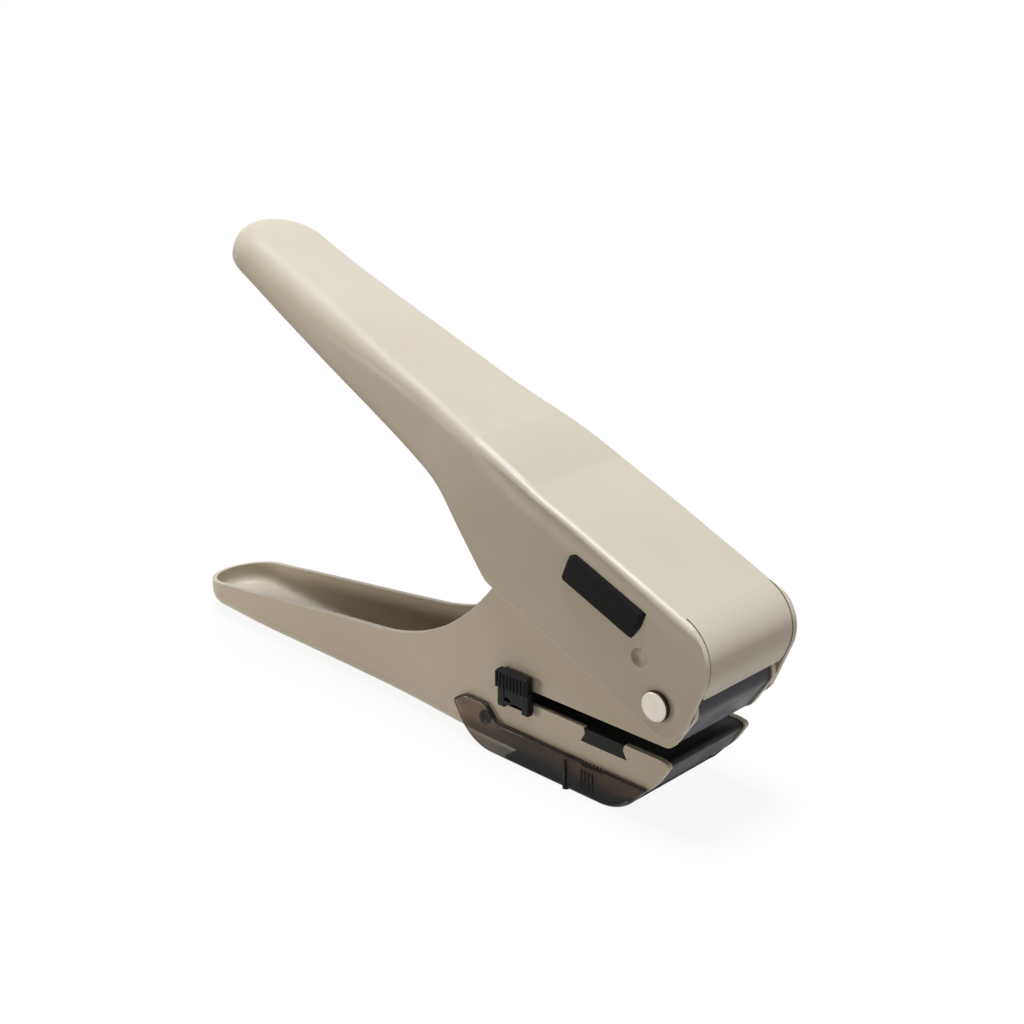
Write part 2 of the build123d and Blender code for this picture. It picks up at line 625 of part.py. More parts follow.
def jaw_insert():
    """Moulding of the lower jaw: plate, nose, skirts, die boss and a dovetail tab on each side."""
    back = THROAT_BACK + BOSS_GAP
    plate_low = INSERT_TOP - INSERT_PLATE
    chin = jaw_corners(NOSE_INSET)
    slope = (chin[1][1] - chin[0][1]) / (chin[1][0] - chin[0][0])
    skirt_x = chin[0][0] + (INSERT_SKIRT - chin[0][1]) / slope
    corners = [
        (back, INSERT_SKIRT, 0), (skirt_x, INSERT_SKIRT, 0), chin[1],
        (PIVOT_X, INSERT_TOP, JAW_TOP_ROUND), (back, INSERT_TOP, 0),
    ]
    insert = slab(SIDE, corners, MOULDING_HALF)
    hollow_x = skirt_x - INSERT_WALL
    hollow = [
        (back + INSERT_WALL, INSERT_SKIRT - OVERRUN, 0), (hollow_x, INSERT_SKIRT - OVERRUN, 0),
        (hollow_x, INSERT_SKIRT, 0), (hollow_x + (plate_low - INSERT_SKIRT) / slope, plate_low, INSERT_WALL),
        (back + INSERT_WALL, plate_low, INSERT_WALL),
    ]
    insert = insert - slab(SIDE, hollow, MOULDING_HALF - INSERT_WALL)
    insert = insert + disc(DIE_BOSS, plate_low - DIE_BOSS_HEIGHT, INSERT_TOP)
    tab = slab(SIDE, notch_corners(FIT_GAP), FRAME_HALF - FIT_GAP)
    tab = tab - block(-OVERRUN, PIVOT_X + OVERRUN, -FRAME_INSIDE / 2, FRAME_INSIDE / 2, 0, PIVOT_HEIGHT)
    tab = tab - block(-OVERRUN, PIVOT_X + OVERRUN, -UPPER_WIDTH, UPPER_WIDTH, INSERT_TOP, PIVOT_HEIGHT)
    insert = insert + tab
    insert = insert - disc(CHUTE_RADIUS, 0, INSERT_TOP + OVERRUN)
    return single(insert - disc(DIE_RADIUS + FIT_GAP / 2, INSERT_TOP - DIE_THICKNESS, INSERT_TOP + OVERRUN))


def die_bush():
    """Steel ring under the punch, with a cutting land and a relief below it."""
    ring = disc(DIE_RADIUS, INSERT_TOP - DIE_THICKNESS, INSERT_TOP)
    ring = ring - disc(PUNCH_RADIUS + FIT_GAP, 0, PIVOT_HEIGHT)
    return ring - disc(PUNCH_RADIUS + DIE_RELIEF, 0, INSERT_TOP - DIE_LAND)


def punch_pin():
    """Cutter: hollow-ground tip below, groove for the ring, plain shank in the cap."""
    shank = disc(PUNCH_RADIUS, PUNCH_TIP, FLANGE_TOP + CAP_HOLD)
    ring_top = UPPER_SEAT_BOTTOM - SEAT_GAP
    groove = disc(RING_RADIUS, ring_top - RING_THICKNESS - SEAT_GAP, ring_top + SEAT_GAP)
    groove = groove - disc(PUNCH_RADIUS - RING_GROOVE, 0, PIVOT_HEIGHT + OVERRUN)
    valley = Pos(PUNCH_X, 0, PUNCH_TIP - PUNCH_RADIUS * 2) * Rot(90, 0, 0) * Cylinder(
        PUNCH_RADIUS * 2 + RING_GROOVE, OVERRUN)
    return single(shank - groove - valley)


def cap_ring():
    """Snap ring in the cutter's groove, open at the back."""
    top = UPPER_SEAT_BOTTOM - SEAT_GAP
    ring = disc(RING_RADIUS, top - RING_THICKNESS, top)
    ring = ring - disc(PUNCH_RADIUS - RING_GROOVE + FIT_GAP, 0, PIVOT_HEIGHT + OVERRUN)
    slit = PUNCH_RADIUS / 2
    return single(ring - block(PUNCH_X - OVERRUN, PUNCH_X, -slit, slit, 0, PIVOT_HEIGHT + OVERRUN))


def upper_spring_seat():
    """Washer between the spring and the cap's flange."""
    ring = disc(SEAT_RADIUS, UPPER_SEAT_BOTTOM, UPPER_SEAT_BOTTOM + SEAT_THICKNESS)
    return ring - disc(PUNCH_RADIUS + FIT_GAP, 0, PIVOT_HEIGHT + OVERRUN)


def lower_spring_seat():
    """Washer on the floor of the guide's pocket."""
    ring = disc(SEAT_RADIUS, POCKET_Z, POCKET_Z + SEAT_THICKNESS)
    return ring - disc(PUNCH_BUSH_RADIUS + FIT_GAP, 0, PIVOT_HEIGHT)


def punch_cap():
    """Head that the bar presses on: a half-round top on a neck and a round flange."""
    neck = block(
        PUNCH_X - CAP_ROUND, PUNCH_X + CAP_ROUND, -CAP_WIDTH / 2, CAP_WIDTH / 2, FLANGE_TOP, CAP_CENTRE)
    cap = neck + rod(PUNCH_X, CAP_CENTRE, CAP_ROUND, CAP_WIDTH / 2)
    cap = cap + disc(FLANGE_RADIUS, FLANGE_BOTTOM, FLANGE_TOP)
    return single(cap - disc(PUNCH_RADIUS + FIT_GAP / 2, 0, FLANGE_TOP + CAP_HOLD))


def coil_point(turn, foot, pitch):
    """Point of the coil's line after so many turns, and its direction there."""
    angle = 2 * pi * turn
    place = Vector(PUNCH_X + COIL_RADIUS * cos(angle), COIL_RADIUS * sin(angle), foot + pitch * turn)
    heading = Vector(-COIL_RADIUS * sin(angle), COIL_RADIUS * cos(angle), pitch / (2 * pi))
    return place, heading.normalized()


def biarc(start, start_way, end, end_way):
    """Two arcs that leave one point and reach another in the directions given."""
    chord = end - start
    both = start_way + end_way
    bend = 2 * (1 - start_way.dot(end_way))
    reach = (sqrt(chord.dot(both) ** 2 + bend * chord.dot(chord)) - chord.dot(both)) / bend
    near = start + start_way * reach
    far = end - end_way * reach
    middle = (near + far) * 0.5
    return [TangentArc(start, middle, tangent=start_way), TangentArc(middle, end, tangent=far - near)]


def coil_gap(foot, pitch):
    """Least distance between neighbouring turns of the wire, measured on points along it."""
    steps = 48
    points = [coil_point(COIL_TURNS * i / steps, foot, pitch)[0] for i in range(steps + 1)]
    apart = [
        (points[i] - points[j]).length
        for i in range(len(points)) for j in range(i) if (i - j) * COIL_TURNS / steps > 0.5
    ]
    return min(apart) - WIRE_RADIUS * 2


def punch_spring():
    """Return spring round the cutter, one unbroken wire of arcs between its two washers."""
    foot = LOWER_SEAT_TOP + SEAT_GAP + WIRE_RADIUS
    pitch = (UPPER_SEAT_BOTTOM - SEAT_GAP - WIRE_RADIUS - foot) / COIL_TURNS
    count = round(COIL_TURNS / COIL_QUARTER)
    arcs = []
    for step in range(count):
        here = coil_point(step * COIL_TURNS / count, foot, pitch)
        there = coil_point((step + 1) * COIL_TURNS / count, foot, pitch)
        arcs = arcs + biarc(*here, *there)
    print(f"punch_spring: gap between turns {coil_gap(foot, pitch):.2f} mm")
    start, heading = coil_point(0, foot, pitch)
    profile = Plane(origin=start, z_dir=heading) * Circle(WIRE_RADIUS)
    return single(sweep(profile, path=Wire([arc.edge() for arc in arcs])))


def gauge_stop():
    """Bar of the depth stop across the throat, with a peg into each grip."""
    back = THROAT_BACK + STOP_BACK_GAP
    low = THROAT_FLOOR + STOP_CLEARANCE
    high = GUIDE_FLOOR - STOP_CLEARANCE
    peg_end = FRAME_HALF + STOP_CLEARANCE + GRIP_PEG
    return block(back, back + STOP_LENGTH, -peg_end, peg_end, low, high)


def gauge_grip(side):
    """Ribbed grip of the depth stop outside one cheek, with an arched shoe below; side is 1 or -1."""
    inner = FRAME_HALF + STOP_CLEARANCE
    middle = THROAT_BACK + STOP_BACK_GAP + STOP_LENGTH / 2
    half = GRIP_LENGTH / 2
    low = THROAT_ROOF - GRIP_SKIRT
    grip = block(middle - half, middle + half, inner, inner + GRIP_THICKNESS, low, THROAT_ROOF + GRIP_TOP)
    grip = fillet(grip.faces().sort_by(Axis.Y)[-1].edges() + grip.edges().filter_by(Axis.Y), GRIP_ROUND)
    pitch = GRIP_LENGTH / (GRIP_RIBS + 1)
    for step in range(GRIP_RIBS):
        x = middle - half + (step + 1) * pitch
        outer = inner + GRIP_THICKNESS
        grip = grip - block(
            x - RIB_GROOVE / 2, x + RIB_GROOVE / 2, outer - RIB_DEPTH, outer + RIB_DEPTH,
            low, THROAT_ROOF + OVERRUN)
    shoe_half = SHOE_LENGTH / 2
    shoe_low = THROAT_FLOOR - SHOE_DROP
    shoe = block(middle - shoe_half, middle + shoe_half, inner, inner + SHOE_THICKNESS, shoe_low, low)
    arch_half = shoe_half - SHOE_FOOT
    shoe = shoe - block(
        middle - arch_half, middle + arch_half, 0, OVERRUN, shoe_low - SHOE_ARCH, shoe_low + SHOE_ARCH)
    outer = inner + SHOE_THICKNESS
    window = block(
        middle - arch_half, middle - arch_half + GRIP_WINDOW, outer - RIB_DEPTH, outer,
        shoe_low + SHOE_ARCH * 2, low)
    grip = grip + shoe - window
    grip = single(grip - gauge_stop())
    return grip if side > 0 else mirror(grip, about=Plane.XZ)


def tray_outline():
    """Side view of the tray's walls: rounded back ears, dipped rim and a turned-up chin."""
    back = [(PIVOT_X - a * HINGE_REACH, b * TRAY_RIM) for a, b in TRAY_BACK_SHARES]
    nose = [(PIVOT_X - a * HINGE_REACH, b * TRAY_RIM) for a, b in TRAY_NOSE_SHARES]
    rounds = (TRAY_CHIN_ROUND, TRAY_CORNER, TRAY_EAR_ROUND, TRAY_EAR_ROUND, TRAY_EAR_ROUND)
    corners = [(x, z, r) for (x, z), r in zip(back, rounds)]
    return corners + [(*nose[0], TRAY_CORNER / 2), (*nose[1], TRAY_CHIN_ROUND)]


def tray_ribs():
    """Upright ribs on one wall: one broad with a round nub at its foot, and a few fine."""
    outer = TRAY_HALF
    rib_x = PIVOT_X - TRAY_RIB_REACH
    ribs = block(
        rib_x, rib_x + TRAY_RIB_WIDTH,
        outer - TRAY_RIB_PROUD, outer + TRAY_RIB_PROUD, TRAY_CORNER, TRAY_RIM - TRAY_CORNER * 2)
    nub_y = outer - TRAY_NUB_RADIUS / 2
    ribs = ribs + Pos(0, nub_y, 0) * disc(TRAY_NUB_RADIUS, 0, TRAY_NUB_HEIGHT, rib_x + TRAY_RIB_WIDTH / 2)
    for step in range(FINE_RIBS):
        x = rib_x + TRAY_RIB_WIDTH + (step + 4) * FINE_RIB_PITCH
        ribs = ribs + block(
            x, x + FINE_RIB_WIDTH, outer - TRAY_RIB_PROUD / 2, outer + TRAY_RIB_PROUD / 2,
            TRAY_FLOOR * 2, TRAY_RIM * 3 / 4)
    return ribs


def tray_serrations():
    """Fine notches in the rim of one wall, over the fine ribs."""
    notches = Part()
    for step in range(SERRATIONS):
        x = PIVOT_X - TRAY_RIB_REACH + (step + 5) * SERRATION_PITCH
        notches = notches + block(
            x, x + SERRATION_PITCH / 2, TRAY_HALF - TRAY_WALL * 2, TRAY_HALF + TRAY_WALL,
            TRAY_RIM - SERRATION_DEPTH * 2, TRAY_RIM + OVERRUN)
    return notches


def chip_tray():
    """Clear tray: two walls outside the cheeks, a floor under the window, and a hinge pip on each side."""
    tray = slab(SIDE, tray_outline(), TRAY_HALF)
    inner = FRAME_HALF + TRAY_GAP
    floor_back = PIVOT_X - TRAY_FLOOR_BACK
    jaw = jaw_corners(0)
    lift = FRAME_FOOT - TRAY_FLOOR
    hollow = [
        (floor_back, -OVERRUN, 0), (floor_back, TRAY_FLOOR, 0), (jaw[0][0], TRAY_FLOOR, CHIN_ROUND),
        (jaw[1][0], jaw[1][1] - lift, 0), (jaw[1][0], OVERRUN, 0),
        (floor_back - OVERRUN, OVERRUN, 0), (floor_back - OVERRUN, -OVERRUN, 0),
    ]
    tray = tray - slab(SIDE, hollow, inner)
    front = PIVOT_X - TRAY_FLOOR_FRONT
    tray = tray - block(front, front + OVERRUN, -inner, inner, -OVERRUN, OVERRUN)
    low_edges = [
        edge for edge in tray.edges()
        if abs(abs(edge.center().Y) - TRAY_HALF) < FIT_GAP and abs(edge.center().Z) < FIT_GAP
    ]
    tray = fillet(low_edges, TRAY_CORNER)
    pip_start = FRAME_INSIDE + TRAY_GAP
    pip = stud(PIVOT_X - HINGE_REACH, HINGE_HEIGHT, HINGE_PIP_RADIUS, pip_start, TRAY_HALF - FIT_GAP)
    return single(tray + both_sides(pip + tray_ribs()) - both_sides(tray_serrations()))


def write_parts():
    """Builds every piece and writes one file for each."""
    pieces = {
        "upper_handle": upper_handle(),
        "drive_bar": drive_bar(),
        "wear_plate": wear_shape(0),
        "lower_frame": lower_frame(),
        "punch_guide": punch_guide(),
        "punch_bush": punch_bush(),
        "jaw_insert": jaw_insert(),
        "die_bush": die_bush(),
        "pivot_pin": pivot_pin(),
        "pivot_bush": pivot_bush(),
        "guide_pin": guide_pin(),
        "punch_pin": punch_pin(),
        "punch_cap": punch_cap(),
        "cap_ring": cap_ring(),
        "upper_spring_seat": upper_spring_seat(),
        "lower_spring_seat": lower_spring_seat(),
        "punch_spring": punch_spring(),
        "gauge_stop": gauge_stop(),
        "gauge_grip_left": gauge_grip(1),
        "gauge_grip_right": gauge_grip(-1),
        "chip_tray": chip_tray(),
    }
    os.makedirs("parts", exist_ok=True)
    for name, piece in pieces.items():
        export_step(piece, f"parts/{name}.step")


write_parts()
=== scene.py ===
"""Looks of a one-hole card punch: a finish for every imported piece, and the fine moulded detail on top."""

import json
import logging
from dataclasses import dataclass
from enum import Enum
from math import cos, radians, sin

import bmesh
import bpy
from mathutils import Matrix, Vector


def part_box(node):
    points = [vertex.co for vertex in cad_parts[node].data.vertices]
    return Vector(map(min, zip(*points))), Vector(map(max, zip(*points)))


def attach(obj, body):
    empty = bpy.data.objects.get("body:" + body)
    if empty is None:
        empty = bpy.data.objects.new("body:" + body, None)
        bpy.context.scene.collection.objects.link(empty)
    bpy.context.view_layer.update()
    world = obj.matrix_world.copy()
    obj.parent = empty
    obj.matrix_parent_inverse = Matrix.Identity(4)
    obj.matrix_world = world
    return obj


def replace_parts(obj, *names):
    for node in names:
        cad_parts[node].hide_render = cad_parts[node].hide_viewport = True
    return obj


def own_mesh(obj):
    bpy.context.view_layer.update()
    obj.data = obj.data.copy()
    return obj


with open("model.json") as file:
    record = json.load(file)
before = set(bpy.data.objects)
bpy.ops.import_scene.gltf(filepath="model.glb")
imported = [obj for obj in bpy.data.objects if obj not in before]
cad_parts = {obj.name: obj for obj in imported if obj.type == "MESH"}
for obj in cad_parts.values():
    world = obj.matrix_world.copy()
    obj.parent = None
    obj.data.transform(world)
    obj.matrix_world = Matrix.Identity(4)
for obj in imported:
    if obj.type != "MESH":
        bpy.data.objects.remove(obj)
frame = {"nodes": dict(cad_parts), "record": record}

Colour = tuple[float, float, float]
Point = tuple[float, float, float]
Range = tuple[float, float]
Socket = bpy.types.NodeSocket
MM = 0.001
WHITE: Colour = (1.0, 1.0, 1.0)
NO_POINT: Point = (0.0, 0.0, 0.0)
PIVOT: Point = (0.0303, 0.0, 0.0282)
PUNCH_LINE: Point = (0.0155, 0.0, 0.0)

# Corners of a solid's triangles that lie this close are one corner
MERGE_GAP = 0.002 * MM

# Profile of a bevel that makes it round
ROUND_PROFILE = 0.5

log = logging.getLogger("card_punch")


class Body(str, Enum):
    """The bodies that pieces made here ride on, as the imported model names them."""

    HANDLE = "handle"
    PUNCH = "punch"
    TRAY = "tray"
    GAUGE = "gauge"


class Axis(Enum):
    """The direction that a turned or drawn piece was worked along; the value is what turns it upright."""

    ALONG_X = (0.0, radians(90.0), 0.0)
    ALONG_Z = NO_POINT


class Side(Enum):
    """The two outer sides of the punch; the value is the sign of Y."""

    NEAR = -1
    FAR = 1


class Bench:
    """A node tree that is worked on: adds nodes, sets their sockets and joins them."""

    def __init__(self, tree: bpy.types.NodeTree) -> None:
        """Starts on an emptied tree."""
        self.tree = tree
        self.tree.nodes.clear()

    def add(self, kind: str, values: dict[str, object] | None = None, **settings: object) -> bpy.types.Node:
        """Adds a node.

        Args:
            kind: Blender's name of the node.
            values: What to set on its input sockets, by socket name.
            settings: What to set on the node itself.

        Returns:
            The new node.
        """
        node = self.tree.nodes.new(kind)
        for name, value in settings.items():
            setattr(node, name, value)
        for name, value in (values or {}).items():
            node.inputs[name].default_value = value
        return node

    def join(self, output: Socket, socket: Socket) -> None:
        """Joins an output to an input."""
        self.tree.links.new(output, socket)

    def maths(self, operation: str, first: Socket | float, second: Socket | float) -> Socket:
        """One sum, by Blender's name, on two values or outputs."""
        node = self.add("ShaderNodeMath", operation=operation)
        for socket, value in zip(node.inputs, (first, second)):
            if isinstance(value, float):
                socket.default_value = value
            else:
                self.join(value, socket)
        return node.outputs["Value"]

    def span(self, value: Socket, low: float, high: float, to_low: float = 0.0,
             to_high: float = 1.0) -> Socket:
        """Maps a range of values to another range.

        Args:
            value: The socket to read.
            low: Start of its range.
            high: End of its range.
            to_low: What the start becomes.
            to_high: What the end becomes.

        Returns:
            The mapped value.
        """
        node = self.add("ShaderNodeMapRange", {
            "From Min": low, "From Max": high, "To Min": to_low, "To Max": to_high})
        self.join(value, node.inputs["Value"])
        return node.outputs["Result"]

    def blend(self, factor: Socket, first: Colour | Socket, second: Colour | Socket) -> Socket:
        """Mixes two colours, or the outputs of two, by the share of the second."""
        node = self.add("ShaderNodeMix", data_type="RGBA")
        self.join(factor, node.inputs[0])
        for socket, colour in ((node.inputs[6], first), (node.inputs[7], second)):
            if isinstance(colour, tuple):
                socket.default_value = (*colour, 1.0)
            else:
                self.join(colour, socket)
        return node.outputs[2]

    def to_eye(self) -> Socket:
        """One for what the camera sees, straight, in gloss or through glass, and zero for other rays."""
        path = self.add("ShaderNodeLightPath")
        turned = self.maths("MAXIMUM", path.outputs["Is Transmission Ray"], path.outputs["Is Glossy Ray"])
        return self.maths("MAXIMUM", path.outputs["Is Camera Ray"], turned)

    def choose(self, factor: Socket, first: Socket, second: Socket) -> Socket:
        """Mixes two shaders by the share of the second."""
        node = self.add("ShaderNodeMixShader")
        for socket, output in zip(node.inputs, (factor, first, second)):
            self.join(output, socket)
        return node.outputs["Shader"]


class Desk(Bench):
    """The tree of one material, with its surface shader, patterns and relief."""

    bevel_samples = 6
    noise_roughness = 0.55
    speck_core = 0.6
    ring_detail = 2.0
    ring_detail_scale = 3.0
    head_back: Point = (-0.018, 0.0, 0.0)
    head_fade = 0.008
    flat_start = 0.9994
    flat_full = 0.9999

    def __init__(self, name: str) -> None:
        """Starts an empty material with its output and its surface shader."""
        self.material = bpy.data.materials.new(name)
        self.material.use_nodes = True
        super().__init__(self.material.node_tree)
        self.surface = self.add("ShaderNodeBsdfPrincipled")
        self.output = self.add("ShaderNodeOutputMaterial")
        self.join(self.surface.outputs["BSDF"], self.output.inputs["Surface"])
        self.coords = self.add("ShaderNodeTexCoord").outputs["Object"]

    def shade(self, **values: object) -> None:
        """Sets plain values on the surface shader, by socket name with spaces as underscores."""
        for name, value in values.items():
            self.surface.inputs[name.replace("_", " ")].default_value = value

    def seen_from(self, origin: Point) -> Socket:
        """Object coordinates, counted from a point."""
        shift = self.add("ShaderNodeVectorMath", operation="SUBTRACT")
        shift.inputs[1].default_value = origin
        self.join(self.coords, shift.inputs[0])
        return shift.outputs["Vector"]

    def mapped(self, centre: Point, turn: Point = NO_POINT, scale: Point = (1.0, 1.0, 1.0)) -> Socket:
        """Object coordinates, moved, turned and stretched for a pattern.

        Args:
            centre: The point that becomes the pattern's origin.
            turn: Turn about each axis, in radians.
            scale: Stretch along each axis.

        Returns:
            The vector output.
        """
        mapping = self.add("ShaderNodeMapping", {"Rotation": turn, "Scale": scale})
        self.join(self.seen_from(centre), mapping.inputs["Vector"])
        return mapping.outputs["Vector"]

    def along(self, origin: Point, direction: Point) -> Socket:
        """How far each place is, in metres, from a point along a unit direction."""
        product = self.add("ShaderNodeVectorMath", operation="DOT_PRODUCT")
        product.inputs[1].default_value = direction
        self.join(self.seen_from(origin), product.inputs[0])
        return product.outputs["Value"]

    def off_axis(self, centre: Point) -> Socket:
        """How far each place is, in metres, from the line that crosses the part at a point."""
        reach = self.add("ShaderNodeVectorMath", operation="LENGTH")
        self.join(self.mapped(centre, scale=(1.0, 0.0, 1.0)), reach.inputs[0])
        return reach.outputs["Value"]

    def noise(self, scale: float, detail: float = 3.0, vector: Socket | None = None) -> Socket:
        """Cloudy noise, by features for each metre and octaves, on the object's own coordinates or others."""
        node = self.add("ShaderNodeTexNoise", {
            "Scale": scale, "Detail": detail, "Roughness": self.noise_roughness})
        self.join(vector or self.coords, node.inputs["Vector"])
        return node.outputs["Fac"]

    def rings(self, centre: Point, turn: Point, scale: float, distortion: float) -> Socket:
        """Fine, slightly uneven rings round the axis through a point that a turn brings upright."""
        wave = self.add("ShaderNodeTexWave", {
            "Scale": scale, "Distortion": distortion, "Detail": self.ring_detail,
            "Detail Scale": self.ring_detail_scale}, wave_type="RINGS", rings_direction="Z")
        self.join(self.mapped(centre, turn), wave.inputs["Vector"])
        return wave.outputs["Fac"]

    def specks(self, scale: float, size: float) -> Socket:
        """One in small scattered specks and zero outside them; the size is a speck's share of its cell."""
        cells = self.add("ShaderNodeTexVoronoi", {"Scale": scale, "Randomness": 1.0}, feature="F1")
        self.join(self.coords, cells.inputs["Vector"])
        return self.span(cells.outputs["Distance"], size, size * self.speck_core)

    def edges(self, radius: float, start: float = 0.90, full: float = 0.76) -> Socket:
        """How much a place is an edge, from how far a softened normal leaves the face's own.

        Args:
            radius: How far an edge reaches, in metres.
            start: Agreement of the two normals where an edge starts.
            full: Their agreement on a full edge.

        Returns:
            Zero on flats and one on sharp edges.
        """
        soft = self.add("ShaderNodeBevel", {"Radius": radius}, samples=self.bevel_samples)
        product = self.add("ShaderNodeVectorMath", operation="DOT_PRODUCT")
        self.join(soft.outputs["Normal"], product.inputs[0])
        self.join(self.add("ShaderNodeNewGeometry").outputs["True Normal"], product.inputs[1])
        return self.span(product.outputs["Value"], start, full)

    def flats(self) -> Socket:
        """Normal that is the face's own on the flat sides of the head, and the smoothed one elsewhere."""
        shape = self.add("ShaderNodeNewGeometry")
        parts = self.add("ShaderNodeSeparateXYZ")
        self.join(shape.outputs["True Normal"], parts.inputs["Vector"])
        flat = self.span(self.maths("ABSOLUTE", parts.outputs["Y"], 0.0), self.flat_start, self.flat_full)
        head = self.span(self.along(self.head_back, (1.0, 0.0, 0.0)), 0.0, self.head_fade)
        share = self.maths("MULTIPLY", flat, head)
        node = self.add("ShaderNodeMix", data_type="VECTOR")
        self.join(share, node.inputs[0])
        self.join(shape.outputs["Normal"], node.inputs[4])
        self.join(shape.outputs["True Normal"], node.inputs[5])
        return node.outputs[1]

    def colour(self, value: Socket) -> None:
        """Drives the base colour."""
        self.join(value, self.surface.inputs["Base Color"])

    def roughness(self, value: Socket, gloss: Range, low: float = 0.3, high: float = 0.7) -> None:
        """Drives the roughness.

        Args:
            value: The output that it follows.
            gloss: Roughness at the start and at the end of that output's range.
            low: Start of the range, by default where cloudy noise mostly starts.
            high: End of the range, by default where cloudy noise mostly ends.
        """
        self.join(self.span(value, low, high, *gloss), self.surface.inputs["Roughness"])

    def relief(self, heights: list[tuple[Socket, float]], soften: float = 0.0,
               melt: Socket | None = None) -> None:
        """Bumps from several heights, over edges that are softened by a small radius.

        Args:
            heights: Height outputs and the depth of each, in metres.
            soften: Radius of the softened edges, in metres.
            melt: An output that gives that radius where it isn't the same all over.
        """
        normal = None
        if soften:
            bevel = self.add("ShaderNodeBevel", {"Radius": soften}, samples=self.bevel_samples)
            self.join(self.flats(), bevel.inputs["Normal"])
            if melt is not None:
                self.join(melt, bevel.inputs["Radius"])
            normal = bevel.outputs["Normal"]
        for height, depth in heights:
            bump = self.add("ShaderNodeBump", {"Strength": 1.0, "Distance": depth})
            self.join(height, bump.inputs["Height"])
            if normal is not None:
                self.join(normal, bump.inputs["Normal"])
            normal = bump.outputs["Normal"]
        self.join(normal, self.surface.inputs["Normal"])


@dataclass(frozen=True)
class FoldRoll:
    """Soft roll of a pressed cheek below its fold: the sheet leans in more the nearer it is to the fold."""

    tilt: float = 22.0
    start: float = 0.0148
    reach: float = 0.0064
    depth: float = 0.0018
    growth: float = 2.0
    fade_start: float = 0.046
    fade_end: float = 0.064
    crisp: float = 0.00022
    soft: float = 0.0030

    def height(self, desk: Desk) -> Socket:
        """Relief of the roll, from one below it down to zero at the fold."""
        up = (sin(radians(self.tilt)), 0.0, cos(radians(self.tilt)))
        climb = desk.span(desk.along(PIVOT, up), self.start, self.start + self.reach)
        lean = desk.maths("POWER", climb, self.growth)
        return desk.maths("SUBTRACT", 1.0, desk.maths("MULTIPLY", lean, self.along_grip(desk, 1.0, 0.0)))

    def along_grip(self, desk: Desk, head: float, tail: float) -> Socket:
        """A value that goes from the head's to the tail's where the one passes into the other."""
        back = (-cos(radians(self.tilt)), 0.0, sin(radians(self.tilt)))
        return desk.span(desk.along(PIVOT, back), self.fade_start, self.fade_end, head, tail)


@dataclass(frozen=True)
class PressedDimple:
    """Round dimple of the cheeks, pressed a little deeper than its solid by relief."""

    centre: Point = (0.0254, 0.0, 0.0369)
    radius: float = 0.0021
    depth: float = 0.0010
    growth: float = 2.0

    def height(self, desk: Desk) -> Socket:
        """Relief of the dimple, zero at its middle and one from its rim outwards."""
        return desk.maths("POWER", desk.span(desk.off_axis(self.centre), 0.0, self.radius), self.growth)


@dataclass(frozen=True)
class StovedPaint:
    """Stoving paint on pressed sheet: satin, faintly mottled, a fine peel, and sharp edges painted lighter: a
    painted highlight, partly paint wear.
    """

    name: str
    tint: Colour
    shade: Colour
    # Colour of sharp edges: a painted highlight, partly paint wear on the edges
    thin_and_highlight: Colour
    mottle_scale: float = 34.0
    mottle_range: Range = (0.35, 0.65)
    speck_scale: float = 320.0
    speck_size: float = 0.07
    speck_share: float = 0.18
    peel_scale: float = 1500.0
    peel_depth: float = 0.0000035
    wave_scale: float = 120.0
    wave_depth: float = 0.000014
    patch_scale: float = 70.0
    gloss: Range = (0.34, 0.44)
    sheen: float = 0.4
    rim: float = 0.00048
    edge_round: float = 0.00022
    roll: FoldRoll | None = None
    dimple: PressedDimple | None = None

    def make(self) -> bpy.types.Material:
        """Builds the paint's material."""
        desk = Desk(self.name)
        mottle = desk.span(desk.noise(self.mottle_scale, detail=4.0), *self.mottle_range)
        # Sharp edges painted lighter: a painted highlight, partly paint wear
        worn_and_lit = desk.blend(desk.edges(self.rim), desk.blend(mottle, self.tint, self.shade), self.thin_and_highlight)
        specks = desk.span(desk.specks(self.speck_scale, self.speck_size), 0.0, 1.0, 0.0, self.speck_share)
        desk.colour(desk.blend(specks, worn_and_lit, self.shade))
        desk.roughness(desk.noise(self.patch_scale), self.gloss)
        heights = [(desk.noise(self.peel_scale, detail=2.0), self.peel_depth),
                   (desk.noise(self.wave_scale, detail=2.0), self.wave_depth)]
        melt = None
        if self.roll:
            heights.insert(0, (self.roll.height(desk), self.roll.depth))
            melt = self.roll.along_grip(desk, self.roll.crisp, self.roll.soft)
        if self.dimple:
            heights.insert(0, (self.dimple.height(desk), self.dimple.depth))
        desk.relief(heights, self.edge_round, melt)
        desk.shade(Specular_IOR_Level=self.sheen)
        return desk.material


@dataclass(frozen=True)
class Moulding:
    """Black moulded plastic: spark-eroded grain, handled patches that shine, and edges painted paler: a
    painted highlight.
    """

    name: str
    tint: Colour
    # Colour of sharp edges: a painted highlight
    edge: Colour
    cloud_scale: float = 140.0
    cloud_gain: float = 1.5
    grain_scale: float = 3200.0
    grain_depth: float = 0.000006
    patch_scale: float = 160.0
    gloss: Range = (0.40, 0.54)
    sheen: float = 0.3
    metal: float = 0.0
    rim: float = 0.0002
    edge_round: float = 0.00015

    def make(self) -> bpy.types.Material:
        """Builds the dark material."""
        desk = Desk(self.name)
        cloud = tuple(self.cloud_gain * part for part in self.tint)
        ground = desk.blend(desk.noise(self.cloud_scale), self.tint, cloud)
        # Sharp edges painted paler: a painted highlight
        desk.colour(desk.blend(desk.edges(self.rim), ground, self.edge))
        desk.roughness(desk.noise(self.patch_scale), self.gloss)
        desk.relief([(desk.noise(self.grain_scale, detail=2.0), self.grain_depth)], self.edge_round)
        desk.shade(Metallic=self.metal, Specular_IOR_Level=self.sheen)
        return desk.material


